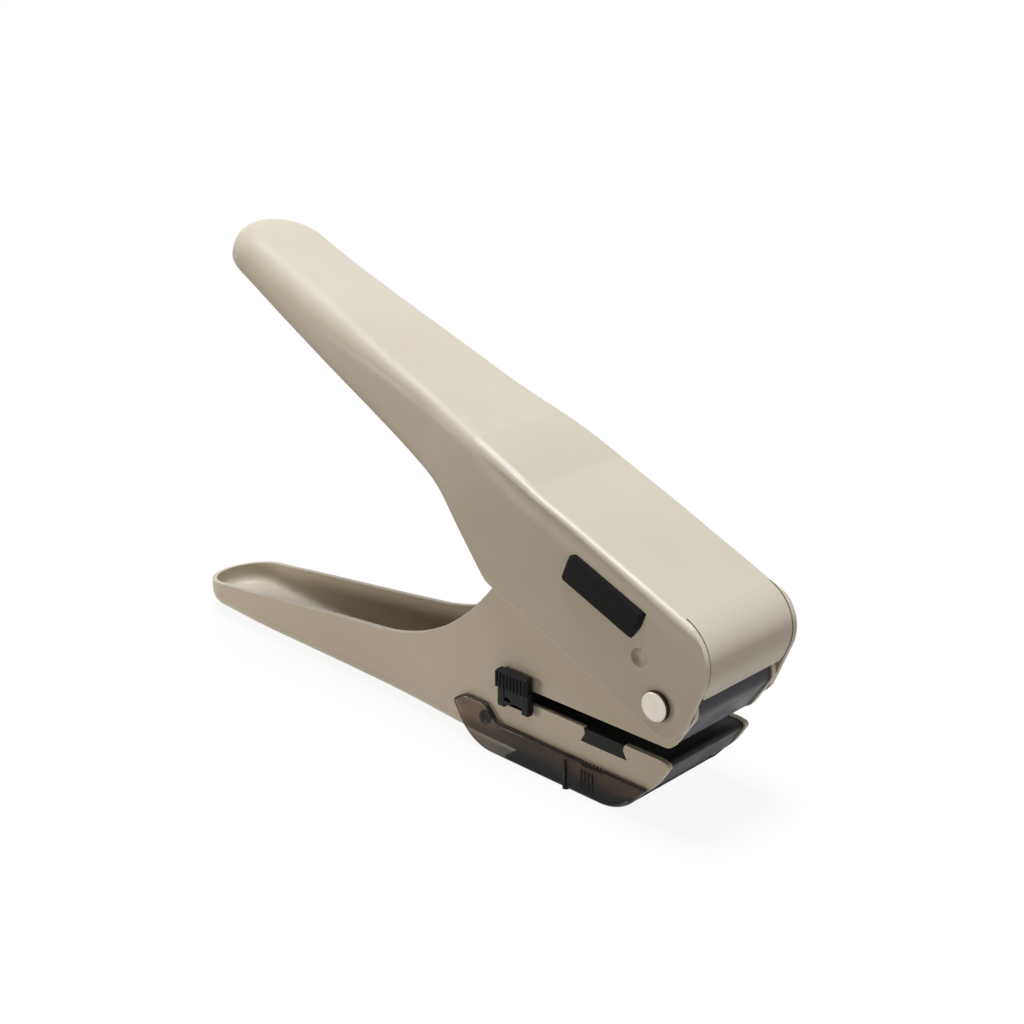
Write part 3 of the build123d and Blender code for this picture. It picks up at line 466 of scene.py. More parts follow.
@dataclass(frozen=True)
class BlackenedSteel(Moulding):
    """Chemically blackened steel: as dark as the mouldings, a little oily, with edges painted paler towards
    grey: a painted highlight.
    """

    cloud_scale: float = 300.0
    cloud_gain: float = 1.8
    grain_scale: float = 2400.0
    grain_depth: float = 0.000004
    patch_scale: float = 210.0
    gloss: Range = (0.38, 0.52)
    edge_round: float = 0.00018


@dataclass(frozen=True)
class WorkedSteel:
    """Bare steel with fine marks round or along the axis it was turned, ground or drawn on."""

    name: str
    tint: Colour
    dark: Colour
    axis: Axis
    centre: Point = NO_POINT
    rings: bool = True
    ring_scale: float = 130.0
    ring_distortion: float = 1.5
    line_scale: float = 2600.0
    line_stretch: float = 0.03
    mark_depth: float = 0.0000015
    stain_scale: float = 260.0
    stain_range: Range = (0.45, 0.75)
    stain_share: float = 0.6
    gloss: Range = (0.22, 0.34)
    edge_round: float = 0.0001

    def make(self) -> bpy.types.Material:
        """Builds the steel's material."""
        desk = Desk(self.name)
        turn = self.axis.value
        if self.rings:
            marks = desk.rings(self.centre, turn, self.ring_scale, self.ring_distortion)
        else:
            stretched = desk.mapped(self.centre, turn, (1.0, 1.0, self.line_stretch))
            marks = desk.noise(self.line_scale, detail=2.0, vector=stretched)
        stain = desk.span(desk.noise(self.stain_scale, detail=4.0), *self.stain_range, 0.0, self.stain_share)
        desk.colour(desk.blend(stain, self.tint, self.dark))
        desk.roughness(marks, self.gloss, 0.0, 1.0)
        desk.relief([(marks, self.mark_depth)], self.edge_round)
        desk.shade(Metallic=1.0)
        return desk.material


@dataclass(frozen=True)
class PlatedRivet:
    """Plated rivet: pale plating, rings that barely show, and a head whose side is painted dark: painted
    shade.
    """

    name: str
    tint: Colour
    dark: Colour
    # Colour of the head's side and rounded edge: painted shade
    side: Colour
    centre: Point
    shaded_side_start: float = 0.00302
    shaded_side_fade: float = 0.00012
    metal: float = 0.9
    ring_scale: float = 110.0
    ring_distortion: float = 2.0
    ring_depth: float = 0.0000008
    dent_scale: float = 500.0
    dent_depth: float = 0.000012
    mottle_scale: float = 420.0
    mottle_range: Range = (0.4, 0.75)
    mottle_share: float = 0.7
    gloss: Range = (0.36, 0.48)
    edge_round: float = 0.00022

    def make(self) -> bpy.types.Material:
        """Builds the plating's material."""
        desk = Desk(self.name)
        rings = desk.rings(self.centre, (radians(90.0), 0.0, 0.0), self.ring_scale, self.ring_distortion)
        mottle = desk.span(desk.noise(self.mottle_scale), *self.mottle_range, 0.0, self.mottle_share)
        # The head's side is painted dark: painted shade
        outside = desk.span(desk.off_axis(self.centre), self.shaded_side_start, self.shaded_side_start + self.shaded_side_fade)
        desk.colour(desk.blend(outside, desk.blend(mottle, self.tint, self.dark), self.side))
        desk.roughness(rings, self.gloss, 0.0, 1.0)
        dents = desk.noise(self.dent_scale, detail=2.0)
        desk.relief([(rings, self.ring_depth), (dents, self.dent_depth)], self.edge_round)
        desk.shade(Metallic=self.metal)
        return desk.material


@dataclass(frozen=True)
class SmokeClear:
    """Smoke-tinted clear plastic: glossy, faint flow marks, fine scratches, a darker foot and dark rims, both
    painted shade.

    The ear is the part of the wall behind ear_front and above ear_low, tinted lighter: painted light. The
    foot is
    below foot_top, and its back part is the heel. The foot, the heel and the pip that the tray turns on are
    tinted darker:
    painted shade.
    """

    name: str
    tint: Colour
    # ear: lighter tint, painted light; foot and heel: darker tints, painted shade
    ear: Colour
    foot: Colour
    heel: Colour = (0.105, 0.082, 0.066)
    # rim: near-black colour on the edges, painted shade, partly the plastic seen edge on
    rim: Colour = (0.008, 0.007, 0.006)
    foot_top: float = 0.0032
    foot_fade: float = 0.0006
    ear_front: float = -0.0125
    ear_front_fade: float = 0.004
    ear_low: float = 0.0042
    ear_low_fade: float = 0.003
    pip: Point = (-0.0182, 0.0, 0.0081)
    pip_radius: float = 0.0015
    pip_fade: float = 0.00015
    rim_reach: float = 0.0009
    rim_start: float = 0.985
    rim_full: float = 0.90
    flow_scale: float = 60.0
    flow_range: Range = (0.3, 0.7)
    flow_share: float = 0.25
    scratch_scale: float = 900.0
    scratch_turn: Point = (0.2, 0.5, 0.3)
    scratch_stretch: Point = (0.04, 1.0, 1.0)
    scratch_range: Range = (0.45, 0.75)
    scratch_depth: float = 0.0000008
    sink_scale: float = 110.0
    sink_depth: float = 0.00001
    gloss: Range = (0.05, 0.16)
    index: float = 1.25

    def make(self) -> bpy.types.Material:
        """Builds the clear plastic's material."""
        desk = Desk(self.name)
        streaks = desk.mapped(NO_POINT, self.scratch_turn, self.scratch_stretch)
        scratches = desk.noise(self.scratch_scale, detail=2.0, vector=streaks)
        flow = desk.span(desk.noise(self.flow_scale, detail=2.0), *self.flow_range, 0.0, self.flow_share)
        # Lighter ear and darker foot, heel and pip: painted light and shade
        back = desk.span(desk.along((self.ear_front, 0.0, 0.0), (-1.0, 0.0, 0.0)), 0.0, self.ear_front_fade)
        high = desk.span(desk.along((0.0, 0.0, self.ear_low), (0.0, 0.0, 1.0)), 0.0, self.ear_low_fade)
        under = desk.along((0.0, 0.0, self.foot_top), (0.0, 0.0, -1.0))
        low = desk.span(under, -self.foot_fade, self.foot_fade)
        pip = desk.span(desk.off_axis(self.pip), self.pip_radius + self.pip_fade, self.pip_radius)
        wall = desk.blend(desk.maths("MULTIPLY", back, high), desk.blend(flow, self.tint, self.ear), self.ear)
        shaded_foot = desk.blend(desk.maths("SUBTRACT", back, pip), self.foot, self.heel)
        body = desk.blend(desk.maths("MAXIMUM", low, pip), wall, shaded_foot)
        # Edges painted near black: painted shade, partly the plastic seen edge on
        rim = desk.edges(self.rim_reach, self.rim_start, self.rim_full)
        desk.colour(desk.blend(rim, body, self.rim))
        desk.roughness(scratches, self.gloss, *self.scratch_range)
        sinks = desk.noise(self.sink_scale, detail=1.0)
        desk.relief([(sinks, self.sink_depth), (scratches, self.scratch_depth)])
        desk.shade(Transmission_Weight=1.0, IOR=self.index)
        return desk.material


Finish = StovedPaint | Moulding | WorkedSteel | PlatedRivet | SmokeClear


class Paintbox:
    """Keeps one material for each record slot and puts it on pieces."""

    def __init__(self) -> None:
        """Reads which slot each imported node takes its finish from."""
        self.slot_of = {part["node"]: part["material_slot"] for part in frame["record"]["subparts"]}
        self.made: dict[str, bpy.types.Material] = {}

    def mix(self, *finishes: Finish) -> None:
        """Makes the materials of some slots; a finish has the name of its slot."""
        for finish in finishes:
            self.made[finish.name] = finish.make()

    def dress(self, *nodes: str) -> None:
        """Puts its slot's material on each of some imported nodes."""
        for node in nodes:
            slot = self.slot_of[node]
            materials = frame["nodes"][node].data.materials
            materials.clear()
            materials.append(self.made[slot])
            log.info("%s wears %s", node, slot)

    def cover(self, piece: bpy.types.Object, slot: str) -> bpy.types.Object:
        """Puts a slot's material on a piece made here, and gives the piece back."""
        piece.data.materials.clear()
        piece.data.materials.append(self.made[slot])
        return piece


def put_in(name: str, data: bpy.types.ID) -> bpy.types.Object:
    """Puts a mesh, a curve, a light or a camera into the scene, as an object with a name."""
    thing = bpy.data.objects.new(name, data)
    bpy.context.scene.collection.objects.link(thing)
    return thing


def plain_mesh(thing: bpy.types.Object) -> bpy.types.Mesh:
    """The mesh that an object's curve or modifiers come to."""
    return bpy.data.meshes.new_from_object(thing.evaluated_get(bpy.context.evaluated_depsgraph_get()))


def joined_copy(node: str) -> bmesh.types.BMesh:
    """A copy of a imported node's mesh in which the corners of neighbouring triangles are joined."""
    shape = bmesh.new()
    shape.from_mesh(frame["nodes"][node].data)
    bmesh.ops.remove_doubles(shape, verts=shape.verts, dist=MERGE_GAP)
    return shape


def closed_mesh(name: str, shape: bmesh.types.BMesh) -> bpy.types.Mesh:
    """Turns a shape that is ready into a mesh with a name."""
    mesh = bpy.data.meshes.new(name)
    shape.to_mesh(mesh)
    shape.free()
    return mesh


def round_edges(shape: bmesh.types.BMesh, edges: list[bmesh.types.BMEdge], radius: float, steps: int) -> None:
    """Rounds some edges of a shape, with a number of faces across each."""
    bmesh.ops.bevel(shape, geom=edges, offset=radius, segments=steps, profile=ROUND_PROFILE, affect="EDGES",
                    clamp_overlap=True)


def rounded_block(shape: bmesh.types.BMesh, low: Point, high: Point, radius: float, steps: int = 4) -> None:
    """Adds a closed block with rounded edges.

    Args:
        shape: What it is added to.
        low: Lowest corner.
        high: Highest corner.
        radius: Radius of its edges.
        steps: Faces across each edge.
    """
    made = bmesh.ops.create_cube(shape, size=1.0)["verts"]
    centre = (Vector(low) + Vector(high)) / 2
    reach = Vector(high) - Vector(low)
    for vertex in made:
        vertex.co = centre + Vector(a * b for a, b in zip(vertex.co, reach))
    round_edges(shape, list({edge for vertex in made for edge in vertex.link_edges}), radius, steps)


class Pattern(Bench):
    """A Geometry Nodes tree that lays out repeated pieces, made here and run once into a plain mesh."""

    bar_sides = 20
    bar_radius = 0.5
    bar_length = 1.0

    def __init__(self, name: str) -> None:
        """Starts a tree that takes a base shape and gives back the pieces."""
        super().__init__(bpy.data.node_groups.new(name, "GeometryNodeTree"))
        self.name = name
        self.tree.interface.new_socket(name="Base", in_out="INPUT", socket_type="NodeSocketGeometry")
        self.tree.interface.new_socket(name="Pieces", in_out="OUTPUT", socket_type="NodeSocketGeometry")
        self.start = self.add("NodeGroupInput")
        self.values: dict[str, float | int] = {}
        self.shapes = [self.start.outputs["Base"]]

    def size(self, name: str, value: float) -> Socket:
        """Adds a named input for one size, in metres, or for a count, and gives back its socket."""
        kind = "NodeSocketInt" if isinstance(value, int) else "NodeSocketFloat"
        item = self.tree.interface.new_socket(name=name, in_out="INPUT", socket_type=kind)
        self.values[item.identifier] = value
        return next(socket for socket in self.start.outputs if socket.identifier == item.identifier)

    def place(self, label: str, point: Point) -> Socket:
        """Adds three inputs, named after a label, and joins them into one vector."""
        node = self.add("ShaderNodeCombineXYZ")
        for axis, value in zip("XYZ", point):
            self.join(self.size(f"{label} {axis}", value), node.inputs[axis])
        return node.outputs["Vector"]

    def row(self, label: str, count: int, first: Point, step: Point, size: Point) -> None:
        """Adds a row of round bars, each squeezed to a size.

        Args:
            label: What the bars are, for the names of their inputs.
            count: How many.
            first: Middle of the first.
            step: From one to the next.
            size: Width, depth and length of each.
        """
        line = self.add("GeometryNodeMeshLine", mode="OFFSET")
        self.join(self.size(f"{label} count", count), line.inputs["Count"])
        self.join(self.place(f"{label} start", first), line.inputs["Start Location"])
        self.join(self.place(f"{label} step", step), line.inputs["Offset"])
        bar = self.add("GeometryNodeMeshCylinder", {
            "Vertices": self.bar_sides, "Radius": self.bar_radius, "Depth": self.bar_length})
        spread = self.add("GeometryNodeInstanceOnPoints")
        self.join(line.outputs["Mesh"], spread.inputs["Points"])
        self.join(bar.outputs["Mesh"], spread.inputs["Instance"])
        self.join(self.place(f"{label} size", size), spread.inputs["Scale"])
        self.shapes.append(spread.outputs["Instances"])

    def run(self, base: bpy.types.Mesh, material: bpy.types.Material) -> bpy.types.Object:
        """Runs the tree on a base shape.

        Args:
            base: The mesh to add the pieces to; it may be empty.
            material: What everything is made of.

        Returns:
            An object at the origin with one plain mesh.
        """
        gather = self.add("GeometryNodeJoinGeometry")
        for shape in self.shapes:
            self.join(shape, gather.inputs["Geometry"])
        real = self.add("GeometryNodeRealizeInstances")
        coat = self.add("GeometryNodeSetMaterial", {"Material": material})
        end = self.add("NodeGroupOutput")
        self.join(gather.outputs["Geometry"], real.inputs["Geometry"])
        self.join(real.outputs["Geometry"], coat.inputs["Geometry"])
        self.join(coat.outputs["Geometry"], end.inputs["Pieces"])
        piece = put_in(self.name, base)
        layer = piece.modifiers.new(self.name, "NODES")
        layer.node_group = self.tree
        for identifier, value in self.values.items():
            layer[identifier] = value
        mesh = plain_mesh(piece)
        piece.modifiers.clear()
        piece.data = mesh
        return piece


@dataclass
class Group:
    """Pieces of one sub-assembly, dressed together."""

    finishes: tuple[Finish, ...]
    nodes: tuple[str, ...]

    def dress(self, box: Paintbox) -> None:
        """Makes the group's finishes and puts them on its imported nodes."""
        box.mix(*self.finishes)
        box.dress(*self.nodes)


@dataclass
class PivotSet(Group):
    """The bright rivet, its spacer sleeve and the cross pin of the punch guide."""

    finishes: tuple[Finish, ...] = (
        # pin_steel's dark side colour is painted shade on the rivet head's side
        PlatedRivet("pin_steel", tint=(0.61, 0.57, 0.50), dark=(0.53, 0.49, 0.425),
                    side=(0.045, 0.034, 0.024), centre=PIVOT),
        WorkedSteel("bush_steel", tint=(0.52, 0.50, 0.47), dark=(0.38, 0.36, 0.33), axis=Axis.ALONG_Z,
                    centre=PUNCH_LINE))
    nodes: tuple[str, ...] = ("pivot_pin", "guide_pin", "pivot_bush")


@dataclass
class UpperHandle(Group):
    """The pressed upper handle, with its cross bar and the wear plate under the bar."""

    finishes: tuple[Finish, ...] = (
        StovedPaint("handle_paint", tint=(0.566, 0.503, 0.392), shade=(0.538, 0.475, 0.365),
                    thin_and_highlight=(0.93, 0.87, 0.74), roll=FoldRoll(), dimple=PressedDimple()),
        # bar_black's paler edge colour is a painted highlight on the bar's edges
        BlackenedSteel("bar_black", tint=(0.006, 0.006, 0.006), edge=(0.022, 0.022, 0.022), sheen=0.07),
        WorkedSteel("wear_steel", tint=(0.50, 0.50, 0.49), dark=(0.36, 0.35, 0.34), axis=Axis.ALONG_X,
                    rings=False))
    nodes: tuple[str, ...] = ("upper_handle", "drive_bar", "wear_plate")
    bar_round: float = 1.3 * MM
    bar_steps: int = 5
    bar_end: float = 14.0 * MM
    same_plane: float = radians(1.0)

    def build_bar(self, box: Paintbox) -> None:
        """Rounds the corners of the cross bar on a copy of its solid, and puts that in the solid's place."""
        shape = joined_copy("drive_bar")
        bmesh.ops.dissolve_limit(shape, angle_limit=self.same_plane, verts=shape.verts, edges=shape.edges)
        corners = []
        for edge in shape.edges:
            first, second = (vertex.co for vertex in edge.verts)
            run = second - first
            if abs(run.y) > run.length / 2 and max(abs(first.y), abs(second.y)) > self.bar_end:
                corners.append(edge)
        round_edges(shape, corners, self.bar_round, self.bar_steps)
        bmesh.ops.recalc_face_normals(shape, faces=shape.faces)
        piece = put_in("cross_bar", closed_mesh("cross_bar", shape))
        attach(piece, Body.HANDLE.value)
        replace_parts(box.cover(piece, "bar_black"), "drive_bar")
        log.info("%s stands for drive_bar", piece.name)

    def dress(self, box: Paintbox) -> None:
        """Paints the handle, blackens its bar and builds the bar's rounder piece."""
        super().dress(box)
        self.build_bar(box)


@dataclass
class LowerFrame(Group):
    """The pressed lower frame with its throat."""

    finishes: tuple[Finish, ...] = (
        StovedPaint("frame_paint", tint=(0.63, 0.563, 0.44), shade=(0.60, 0.533, 0.41),
                    thin_and_highlight=(0.88, 0.82, 0.69)),)
    nodes: tuple[str, ...] = ("lower_frame",)


@dataclass
class Jaws(Group):
    """The two black mouldings that the card passes between: a bluish guide and a deep black insert."""

    finishes: tuple[Finish, ...] = (
        # Each moulding's edge colour is a painted highlight on its sharp edges
        Moulding("guide_black", tint=(0.032, 0.034, 0.039), edge=(0.060, 0.060, 0.062), sheen=0.22),
        Moulding("insert_black", tint=(0.018, 0.0185, 0.018), edge=(0.060, 0.060, 0.062), sheen=0.1))
    nodes: tuple[str, ...] = ("punch_guide", "jaw_insert")


@dataclass
class CutterSet(Group):
    """The cutter, its cap, ring and seats, the return spring, the sleeve and the die."""

    finishes: tuple[Finish, ...] = (
        # cap_black's paler edge colour is a painted highlight on the cap's edges
        BlackenedSteel("cap_black", tint=(0.020, 0.019, 0.018), edge=(0.12, 0.12, 0.12), metal=0.6,
                       sheen=0.4),
        WorkedSteel("die_steel", tint=(0.48, 0.48, 0.47), dark=(0.33, 0.32, 0.31), axis=Axis.ALONG_Z,
                    centre=PUNCH_LINE),
        WorkedSteel("cutter_steel", tint=(0.60, 0.60, 0.59), dark=(0.45, 0.44, 0.42), axis=Axis.ALONG_Z,
                    centre=PUNCH_LINE, rings=False),
        WorkedSteel("seat_steel", tint=(0.50, 0.49, 0.46), dark=(0.36, 0.34, 0.31), axis=Axis.ALONG_Z,
                    centre=PUNCH_LINE),
        WorkedSteel("spring_steel", tint=(0.42, 0.42, 0.42), dark=(0.25, 0.25, 0.25), axis=Axis.ALONG_X,
                    rings=False, gloss=(0.28, 0.34)))
    nodes: tuple[str, ...] = (
        "punch_pin", "punch_cap", "cap_ring", "upper_spring_seat", "lower_spring_seat", "punch_spring",
        "punch_bush", "die_bush")

    def build_coil(self, box: Paintbox) -> None:
        """Copies the return spring into a piece of its own that rides on the punch, in the solid's place."""
        shape = joined_copy("punch_spring")
        mesh = closed_mesh("return_coil", shape)
        mesh.shade_smooth()
        piece = put_in("return_coil", mesh)
        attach(piece, Body.PUNCH.value)
        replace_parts(box.cover(piece, "spring_steel"), "punch_spring")
        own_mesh(piece)
        log.info("%s stands for punch_spring", piece.name)

    def dress(self, box: Paintbox) -> None:
        """Gives each steel piece the marks of how it was made, and builds the coil's copy."""
        super().dress(box)
        self.build_coil(box)


@dataclass
class DepthStop(Group):
    """The stop across the throat and its two grips, made again here with rounded edges and upright ribs."""

    finishes: tuple[Finish, ...] = (
        Moulding("gauge_black", tint=(0.008, 0.008, 0.0085), edge=(0.035, 0.035, 0.036), grain_scale=2600.0,
                 sheen=0.15),)
    nodes: tuple[str, ...] = ("gauge_stop", "gauge_grip_left", "gauge_grip_right")
    rib_count: int = 9
    rib_width: float = 0.62 * MM
    rib_proud: float = 0.4 * MM
    rib_margin: float = 0.35 * MM
    edge_round: float = 0.7 * MM
    foot_round: float = 0.35 * MM
    shoe_thickness: float = 1.7 * MM
    shoe_inset: float = 0.1 * MM
    foot_width: float = 2.1 * MM
    arch: float = 0.95 * MM
    skirt: float = 4.7 * MM
    web_start: float = 3.99 * MM
    sill: float = 0.75 * MM
    hollow: float = 0.9 * MM
    seat: float = 0.05 * MM

    def grip_shape(self, side: Side, low: Vector, high: Vector) -> bpy.types.Mesh:
        """Builds one grip: a rounded plate, and under it a shoe with two feet and a hollow between them.

        Args:
            side: Which side of the punch.
            low: Lowest corner of the grip's solid.
            high: Highest corner of the grip's solid.

        Returns:
            The mesh, without its ribs.
        """
        shape = bmesh.new()
        inner, outer = (low.y, high.y) if side is Side.FAR else (high.y, low.y)
        out = side.value
        face = outer - out * self.rib_proud
        shoe = inner + out * self.shoe_thickness
        shoulder = low.z + self.skirt

        def add(x_low: float, x_high: float, y_end: float, z_low: float, z_high: float,
                radius: float) -> None:
            """Adds one block that starts at the cheek's side."""
            y_low, y_high = sorted((inner, y_end))
            rounded_block(shape, (x_low, y_low, z_low), (x_high, y_high, z_high), radius)

        add(low.x, high.x, face, shoulder, high.z, self.edge_round)
        back, front = low.x + self.shoe_inset, high.x - self.shoe_inset
        top = shoulder + self.edge_round
        bridge = low.z + self.arch
        seated = shoe - out * self.seat
        add(back, back + self.foot_width, shoe, low.z, top, self.foot_round)
        add(front - self.foot_width, front, shoe, low.z, top, self.foot_round)
        add(back + self.seat, front - self.seat, shoe - out * self.hollow, bridge, top, self.seat)
        add(back + self.web_start, front - self.seat, seated, bridge + self.seat, top, self.seat)
        add(back + self.seat, front - self.seat, seated, bridge, bridge + self.sill, self.seat)
        return closed_mesh(f"stop_grip_{side.name.lower()}", shape)

    def build_grip(self, side: Side, node: str, box: Paintbox) -> None:
        """Builds one ribbed grip and puts it in its solid's place.

        Args:
            side: Which side of the punch.
            node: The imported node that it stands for.
            box: Where its finish comes from.
        """
        low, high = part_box(node)
        base = self.grip_shape(side, low, high)
        outer = high.y if side is Side.FAR else low.y
        face = outer - side.value * self.rib_proud
        reach = high.x - low.x - 2 * self.edge_round
        pitch = reach / (self.rib_count - 1)
        bottom = low.z + self.skirt + self.rib_margin
        length = high.z - self.rib_margin - bottom
        ribs = Pattern(f"stop_grip_{side.name.lower()}")
        ribs.row(
            "Rib", self.rib_count, (low.x + self.edge_round, face, bottom + length / 2), (pitch, 0.0, 0.0),
            (self.rib_width, 2 * self.rib_proud, length))
        piece = ribs.run(base, box.made["gauge_black"])
        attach(piece, Body.GAUGE.value)
        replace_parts(box.cover(piece, "gauge_black"), node)
        log.info("%s stands for %s", piece.name, node)

    def dress(self, box: Paintbox) -> None:
        """Blackens the stop and builds both grips."""
        super().dress(box)
        self.build_grip(Side.FAR, "gauge_grip_left", box)
        self.build_grip(Side.NEAR, "gauge_grip_right", box)


@dataclass
class ChipTray(Group):
    """The smoke-clear tray, with upright ribs on its walls that are thicker and so look darker.

    A corner of the lip is its x, its z and how far its bend reaches, in millimetres.
    """

    finishes: tuple[Finish, ...] = (
        # The ear's lighter and the foot's darker tint are painted light and shade
        SmokeClear("tray_clear", tint=(0.20, 0.163, 0.13), ear=(0.42, 0.355, 0.31),
                   foot=(0.06, 0.057, 0.050)),)
    nodes: tuple[str, ...] = ("chip_tray",)
    thick_tint: Colour = (0.04, 0.036, 0.032)
    wall: float = 14.55 * MM
    broad_x: float = 5.95 * MM
    broad_width: float = 0.8 * MM
    broad_low: float = 0.55 * MM
    broad_high: float = 6.9 * MM
    broad_proud: float = 0.32 * MM
    fine_x: float = 10.55 * MM
    fine_pitch: float = 1.02 * MM
    fine_count: int = 4
    fine_width: float = 0.42 * MM
    fine_low: float = 1.7 * MM
    fine_high: float = 6.2 * MM
    fine_proud: float = 0.192 * MM
    lip_radius: float = 0.22 * MM
    lip_inset: float = 0.12 * MM
    lip_round_steps: int = 3
    lip_length_steps: int = 8
    lip_order: int = 3
    lip_corners: tuple[tuple[float, float, float], ...] = (
        (-27.4, 9.66, 0.0), (-24.65, 11.6, 2.2), (-17.9, 11.6, 2.0), (-14.3, 7.98, 2.2),
        (27.3, 7.86, 0.0))

    def lip_path(self) -> list[Vector]:
        """The bead's line, in metres, with a point where each corner's bend starts and one where it ends."""
        stops = [Vector((x, 0.0, z)) * MM for x, z, _ in self.lip_corners]
        path = [stops[0]]
        for before, corner, after, (_, _, reach) in zip(stops, stops[1:], stops[2:], self.lip_corners[1:]):
            path += [corner + (before - corner).normalized() * reach * MM, corner,
                     corner + (after - corner).normalized() * reach * MM]
        return path + [stops[-1]]

    def build_lip(self, side: Side, box: Paintbox) -> None:
        """Builds the dark bead along the rim of one wall and over its ear, partly the plastic seen edge on
        and partly a painted shadow along the rim.
        """
        name = f"tray_lip_{side.name.lower()}"
        line = bpy.data.curves.new(name, "CURVE")
        line.dimensions = "3D"
        line.bevel_depth = self.lip_radius
        line.bevel_resolution = self.lip_round_steps
        line.use_fill_caps = True
        line.resolution_u = self.lip_length_steps
        path = self.lip_path()
        spline = line.splines.new("NURBS")
        spline.points.add(len(path) - 1)
        for point, place in zip(spline.points, path):
            point.co = (place.x, side.value * (self.wall - self.lip_inset), place.z, 1.0)
        spline.order_u = self.lip_order
        spline.use_endpoint_u = True
        drawn = put_in(f"{name}_line", line)
        mesh = plain_mesh(drawn)
        bpy.data.objects.remove(drawn)
        piece = put_in(name, mesh)
        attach(piece, Body.TRAY.value)
        box.cover(piece, "tray_clear")
        # The bead's dark smoke is partly a painted shadow along the rim
        piece.data.materials[0] = self.thick_smoke()
        log.info("%s rides on the tray", piece.name)

    def thick_smoke(self) -> bpy.types.Material:
        """The tray's plastic where it is seen edge on: the same smoke, much darker; on the rim bead it is
        also a painted shadow.
        """
        made = bpy.data.materials.get("tray_rib_smoke")
        return made or SmokeClear("tray_rib_smoke", self.thick_tint, self.thick_tint, self.thick_tint).make()

    def build_ribs(self, side: Side) -> None:
        """Builds the ribs of one wall over the solid's plain ones."""
        out = side.value * self.wall
        ribs = Pattern(f"tray_ribs_{side.name.lower()}")
        for label, count, place, pitch, width, proud, low, high in (
                ("Broad rib", 1, self.broad_x, 0.0, self.broad_width, self.broad_proud, self.broad_low,
                 self.broad_high),
                ("Fine rib", self.fine_count, self.fine_x, self.fine_pitch, self.fine_width, self.fine_proud,
                 self.fine_low, self.fine_high)):
            height = high - low
            middle = (place, out, low + height / 2)
            ribs.row(label, count, middle, (pitch, 0.0, 0.0), (width, 2 * proud, height))
        piece = ribs.run(bpy.data.meshes.new(ribs.name), self.thick_smoke())
        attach(piece, Body.TRAY.value)
        log.info("%s rides on the tray", piece.name)

    def dress(self, box: Paintbox) -> None:
        """Makes the tray clear and adds the ribs and the rim bead of both walls."""
        super().dress(box)
        for side in Side:
            self.build_ribs(side)
            self.build_lip(side, box)


@dataclass(frozen=True)
class Lamp:
    """One square soft lamp that points at a place; its power is in watts."""

    name: str
    place: Point
    target: Point
    size: float
    power: float
    tone: Colour = WHITE

    def hang(self) -> None:
        """Hangs the lamp."""
        light = bpy.data.lights.new(self.name, "AREA")
        light.shape = "SQUARE"
        light.size = self.size
        light.energy = self.power
        light.color = self.tone
        lamp = put_in(self.name, light)
        lamp.location = self.place
        aim = Vector(self.target) - Vector(self.place)
        lamp.rotation_euler = aim.to_track_quat("-Z", "Y").to_euler()


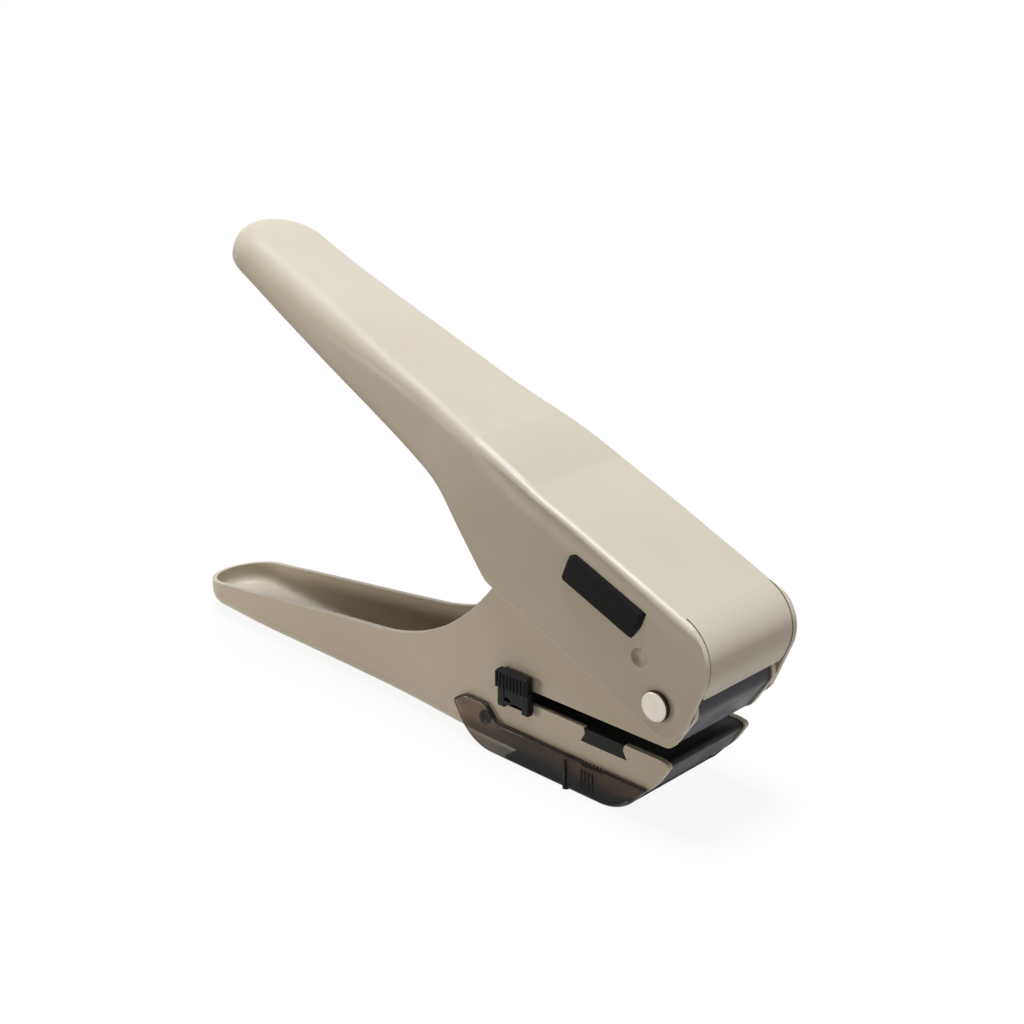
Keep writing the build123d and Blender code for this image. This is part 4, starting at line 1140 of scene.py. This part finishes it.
@dataclass
class Studio:
    """Pale paper floor, soft lamps and the camera at the photograph's place."""

    eye: Point = (0.2058, -0.2376, 0.1705)
    azimuth: float = 44.0
    elevation: float = 19.87
    lens: float = 56.25
    sensor: float = 36.0
    clip_near: float = 0.01
    clip_far: float = 20.0
    floor_size: float = 30.0
    floor_drop: float = 0.00003
    floor_tone: Colour = (0.43, 0.385, 0.335)
    floor_dark: float = 0.98
    floor_scale: float = 3.0
    floor_roughness: float = 0.9
    floor_sheen: float = 0.05
    sky: float = 0.07
    sky_tone: Colour = (1.0, 0.96, 0.91)
    near_share: float = 0.92
    near_reach: float = 0.14
    far_reach: float = 0.50
    lamps: tuple[Lamp, ...] = (
        Lamp("key_lamp", place=(-0.03, 0.0, 0.94), target=(-0.04, 0.0, 0.04), size=0.35, power=10.0,
             tone=(0.95, 1.0, 1.05)),
        Lamp("side_lamp", place=(-0.33, -0.36, 0.02), target=(-0.06, 0.0, 0.02), size=0.10, power=0.8,
             tone=(1.0, 0.92, 0.82)),
        Lamp("nose_lamp", place=(0.6, -0.05, 0.06), target=(0.04, 0.0, 0.03), size=0.12, power=0.34))

    def paper(self) -> bpy.types.Material:
        """The floor's material: pale to the lamps, and white to the eye, with the punch's shadow near it."""
        desk = Desk("floor_paper")
        dark = tuple(self.floor_dark * part for part in self.floor_tone)
        desk.colour(desk.blend(desk.noise(self.floor_scale, detail=2.0), self.floor_tone, dark))
        desk.shade(Roughness=self.floor_roughness, Specular_IOR_Level=self.floor_sheen)
        distance = desk.add("ShaderNodeVectorMath", operation="LENGTH")
        desk.join(desk.coords, distance.inputs[0])
        share = desk.span(distance.outputs["Value"], self.near_reach, self.far_reach, self.near_share)
        glow = desk.add("ShaderNodeEmission", {"Strength": 1.0, "Color": (*WHITE, 1.0)})
        matt = desk.add("ShaderNodeBsdfDiffuse", {"Color": (*WHITE, 1.0)})
        white = desk.choose(share, matt.outputs["BSDF"], glow.outputs["Emission"])
        seen = desk.choose(desk.to_eye(), desk.surface.outputs["BSDF"], white)
        desk.join(seen, desk.output.inputs["Surface"])
        return desk.material

    def set_floor(self) -> None:
        """Lays a large floor just under the punch."""
        mesh = bpy.data.meshes.new("floor")
        half = self.floor_size / 2
        sides = ((-half, -half), (half, -half), (half, half), (-half, half))
        mesh.from_pydata([(x, y, -self.floor_drop) for x, y in sides], [], [(0, 1, 2, 3)])
        mesh.materials.append(self.paper())
        floor = put_in("floor", mesh)

    def set_world(self) -> None:
        """Gives the lamps a dim even sky, and the camera, gloss and glass a white one."""
        world = bpy.data.worlds.new("paper_sky")
        bpy.context.scene.world = world
        world.use_nodes = True
        bench = Bench(world.node_tree)
        seen = bench.to_eye()
        sky = bench.add("ShaderNodeBackground")
        bench.join(bench.blend(seen, self.sky_tone, WHITE), sky.inputs["Color"])
        bench.join(bench.span(seen, 0.0, 1.0, self.sky), sky.inputs["Strength"])
        output = bench.add("ShaderNodeOutputWorld")
        bench.join(sky.outputs["Background"], output.inputs["Surface"])

    def set_camera(self) -> None:
        """Puts the camera where the photograph was taken."""
        lens = bpy.data.cameras.new("photo_lens")
        lens.lens = self.lens
        lens.sensor_width = self.sensor
        lens.clip_start = self.clip_near
        lens.clip_end = self.clip_far
        camera = put_in("photo_camera", lens)
        camera.location = self.eye
        camera.rotation_euler = (radians(90.0 - self.elevation), 0.0, radians(self.azimuth))
        bpy.context.scene.camera = camera

    def set_up(self) -> None:
        """Sets up the whole studio."""
        self.set_floor()
        self.set_world()
        for lamp in self.lamps:
            lamp.hang()
        self.set_camera()
        bpy.context.scene.view_settings.view_transform = "Standard"
        log.info("studio is set")


def main() -> None:
    """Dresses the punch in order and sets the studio."""
    logging.basicConfig(level=logging.INFO, format="%(name)s: %(message)s")
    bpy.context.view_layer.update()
    box = Paintbox()
    for group in (PivotSet(), UpperHandle(), LowerFrame(), Jaws(), CutterSet(), DepthStop(), ChipTray()):
        group.dress(box)
        log.info("%s is done", type(group).__name__)
    Studio().set_up()


if __name__ == "__main__":
    main()
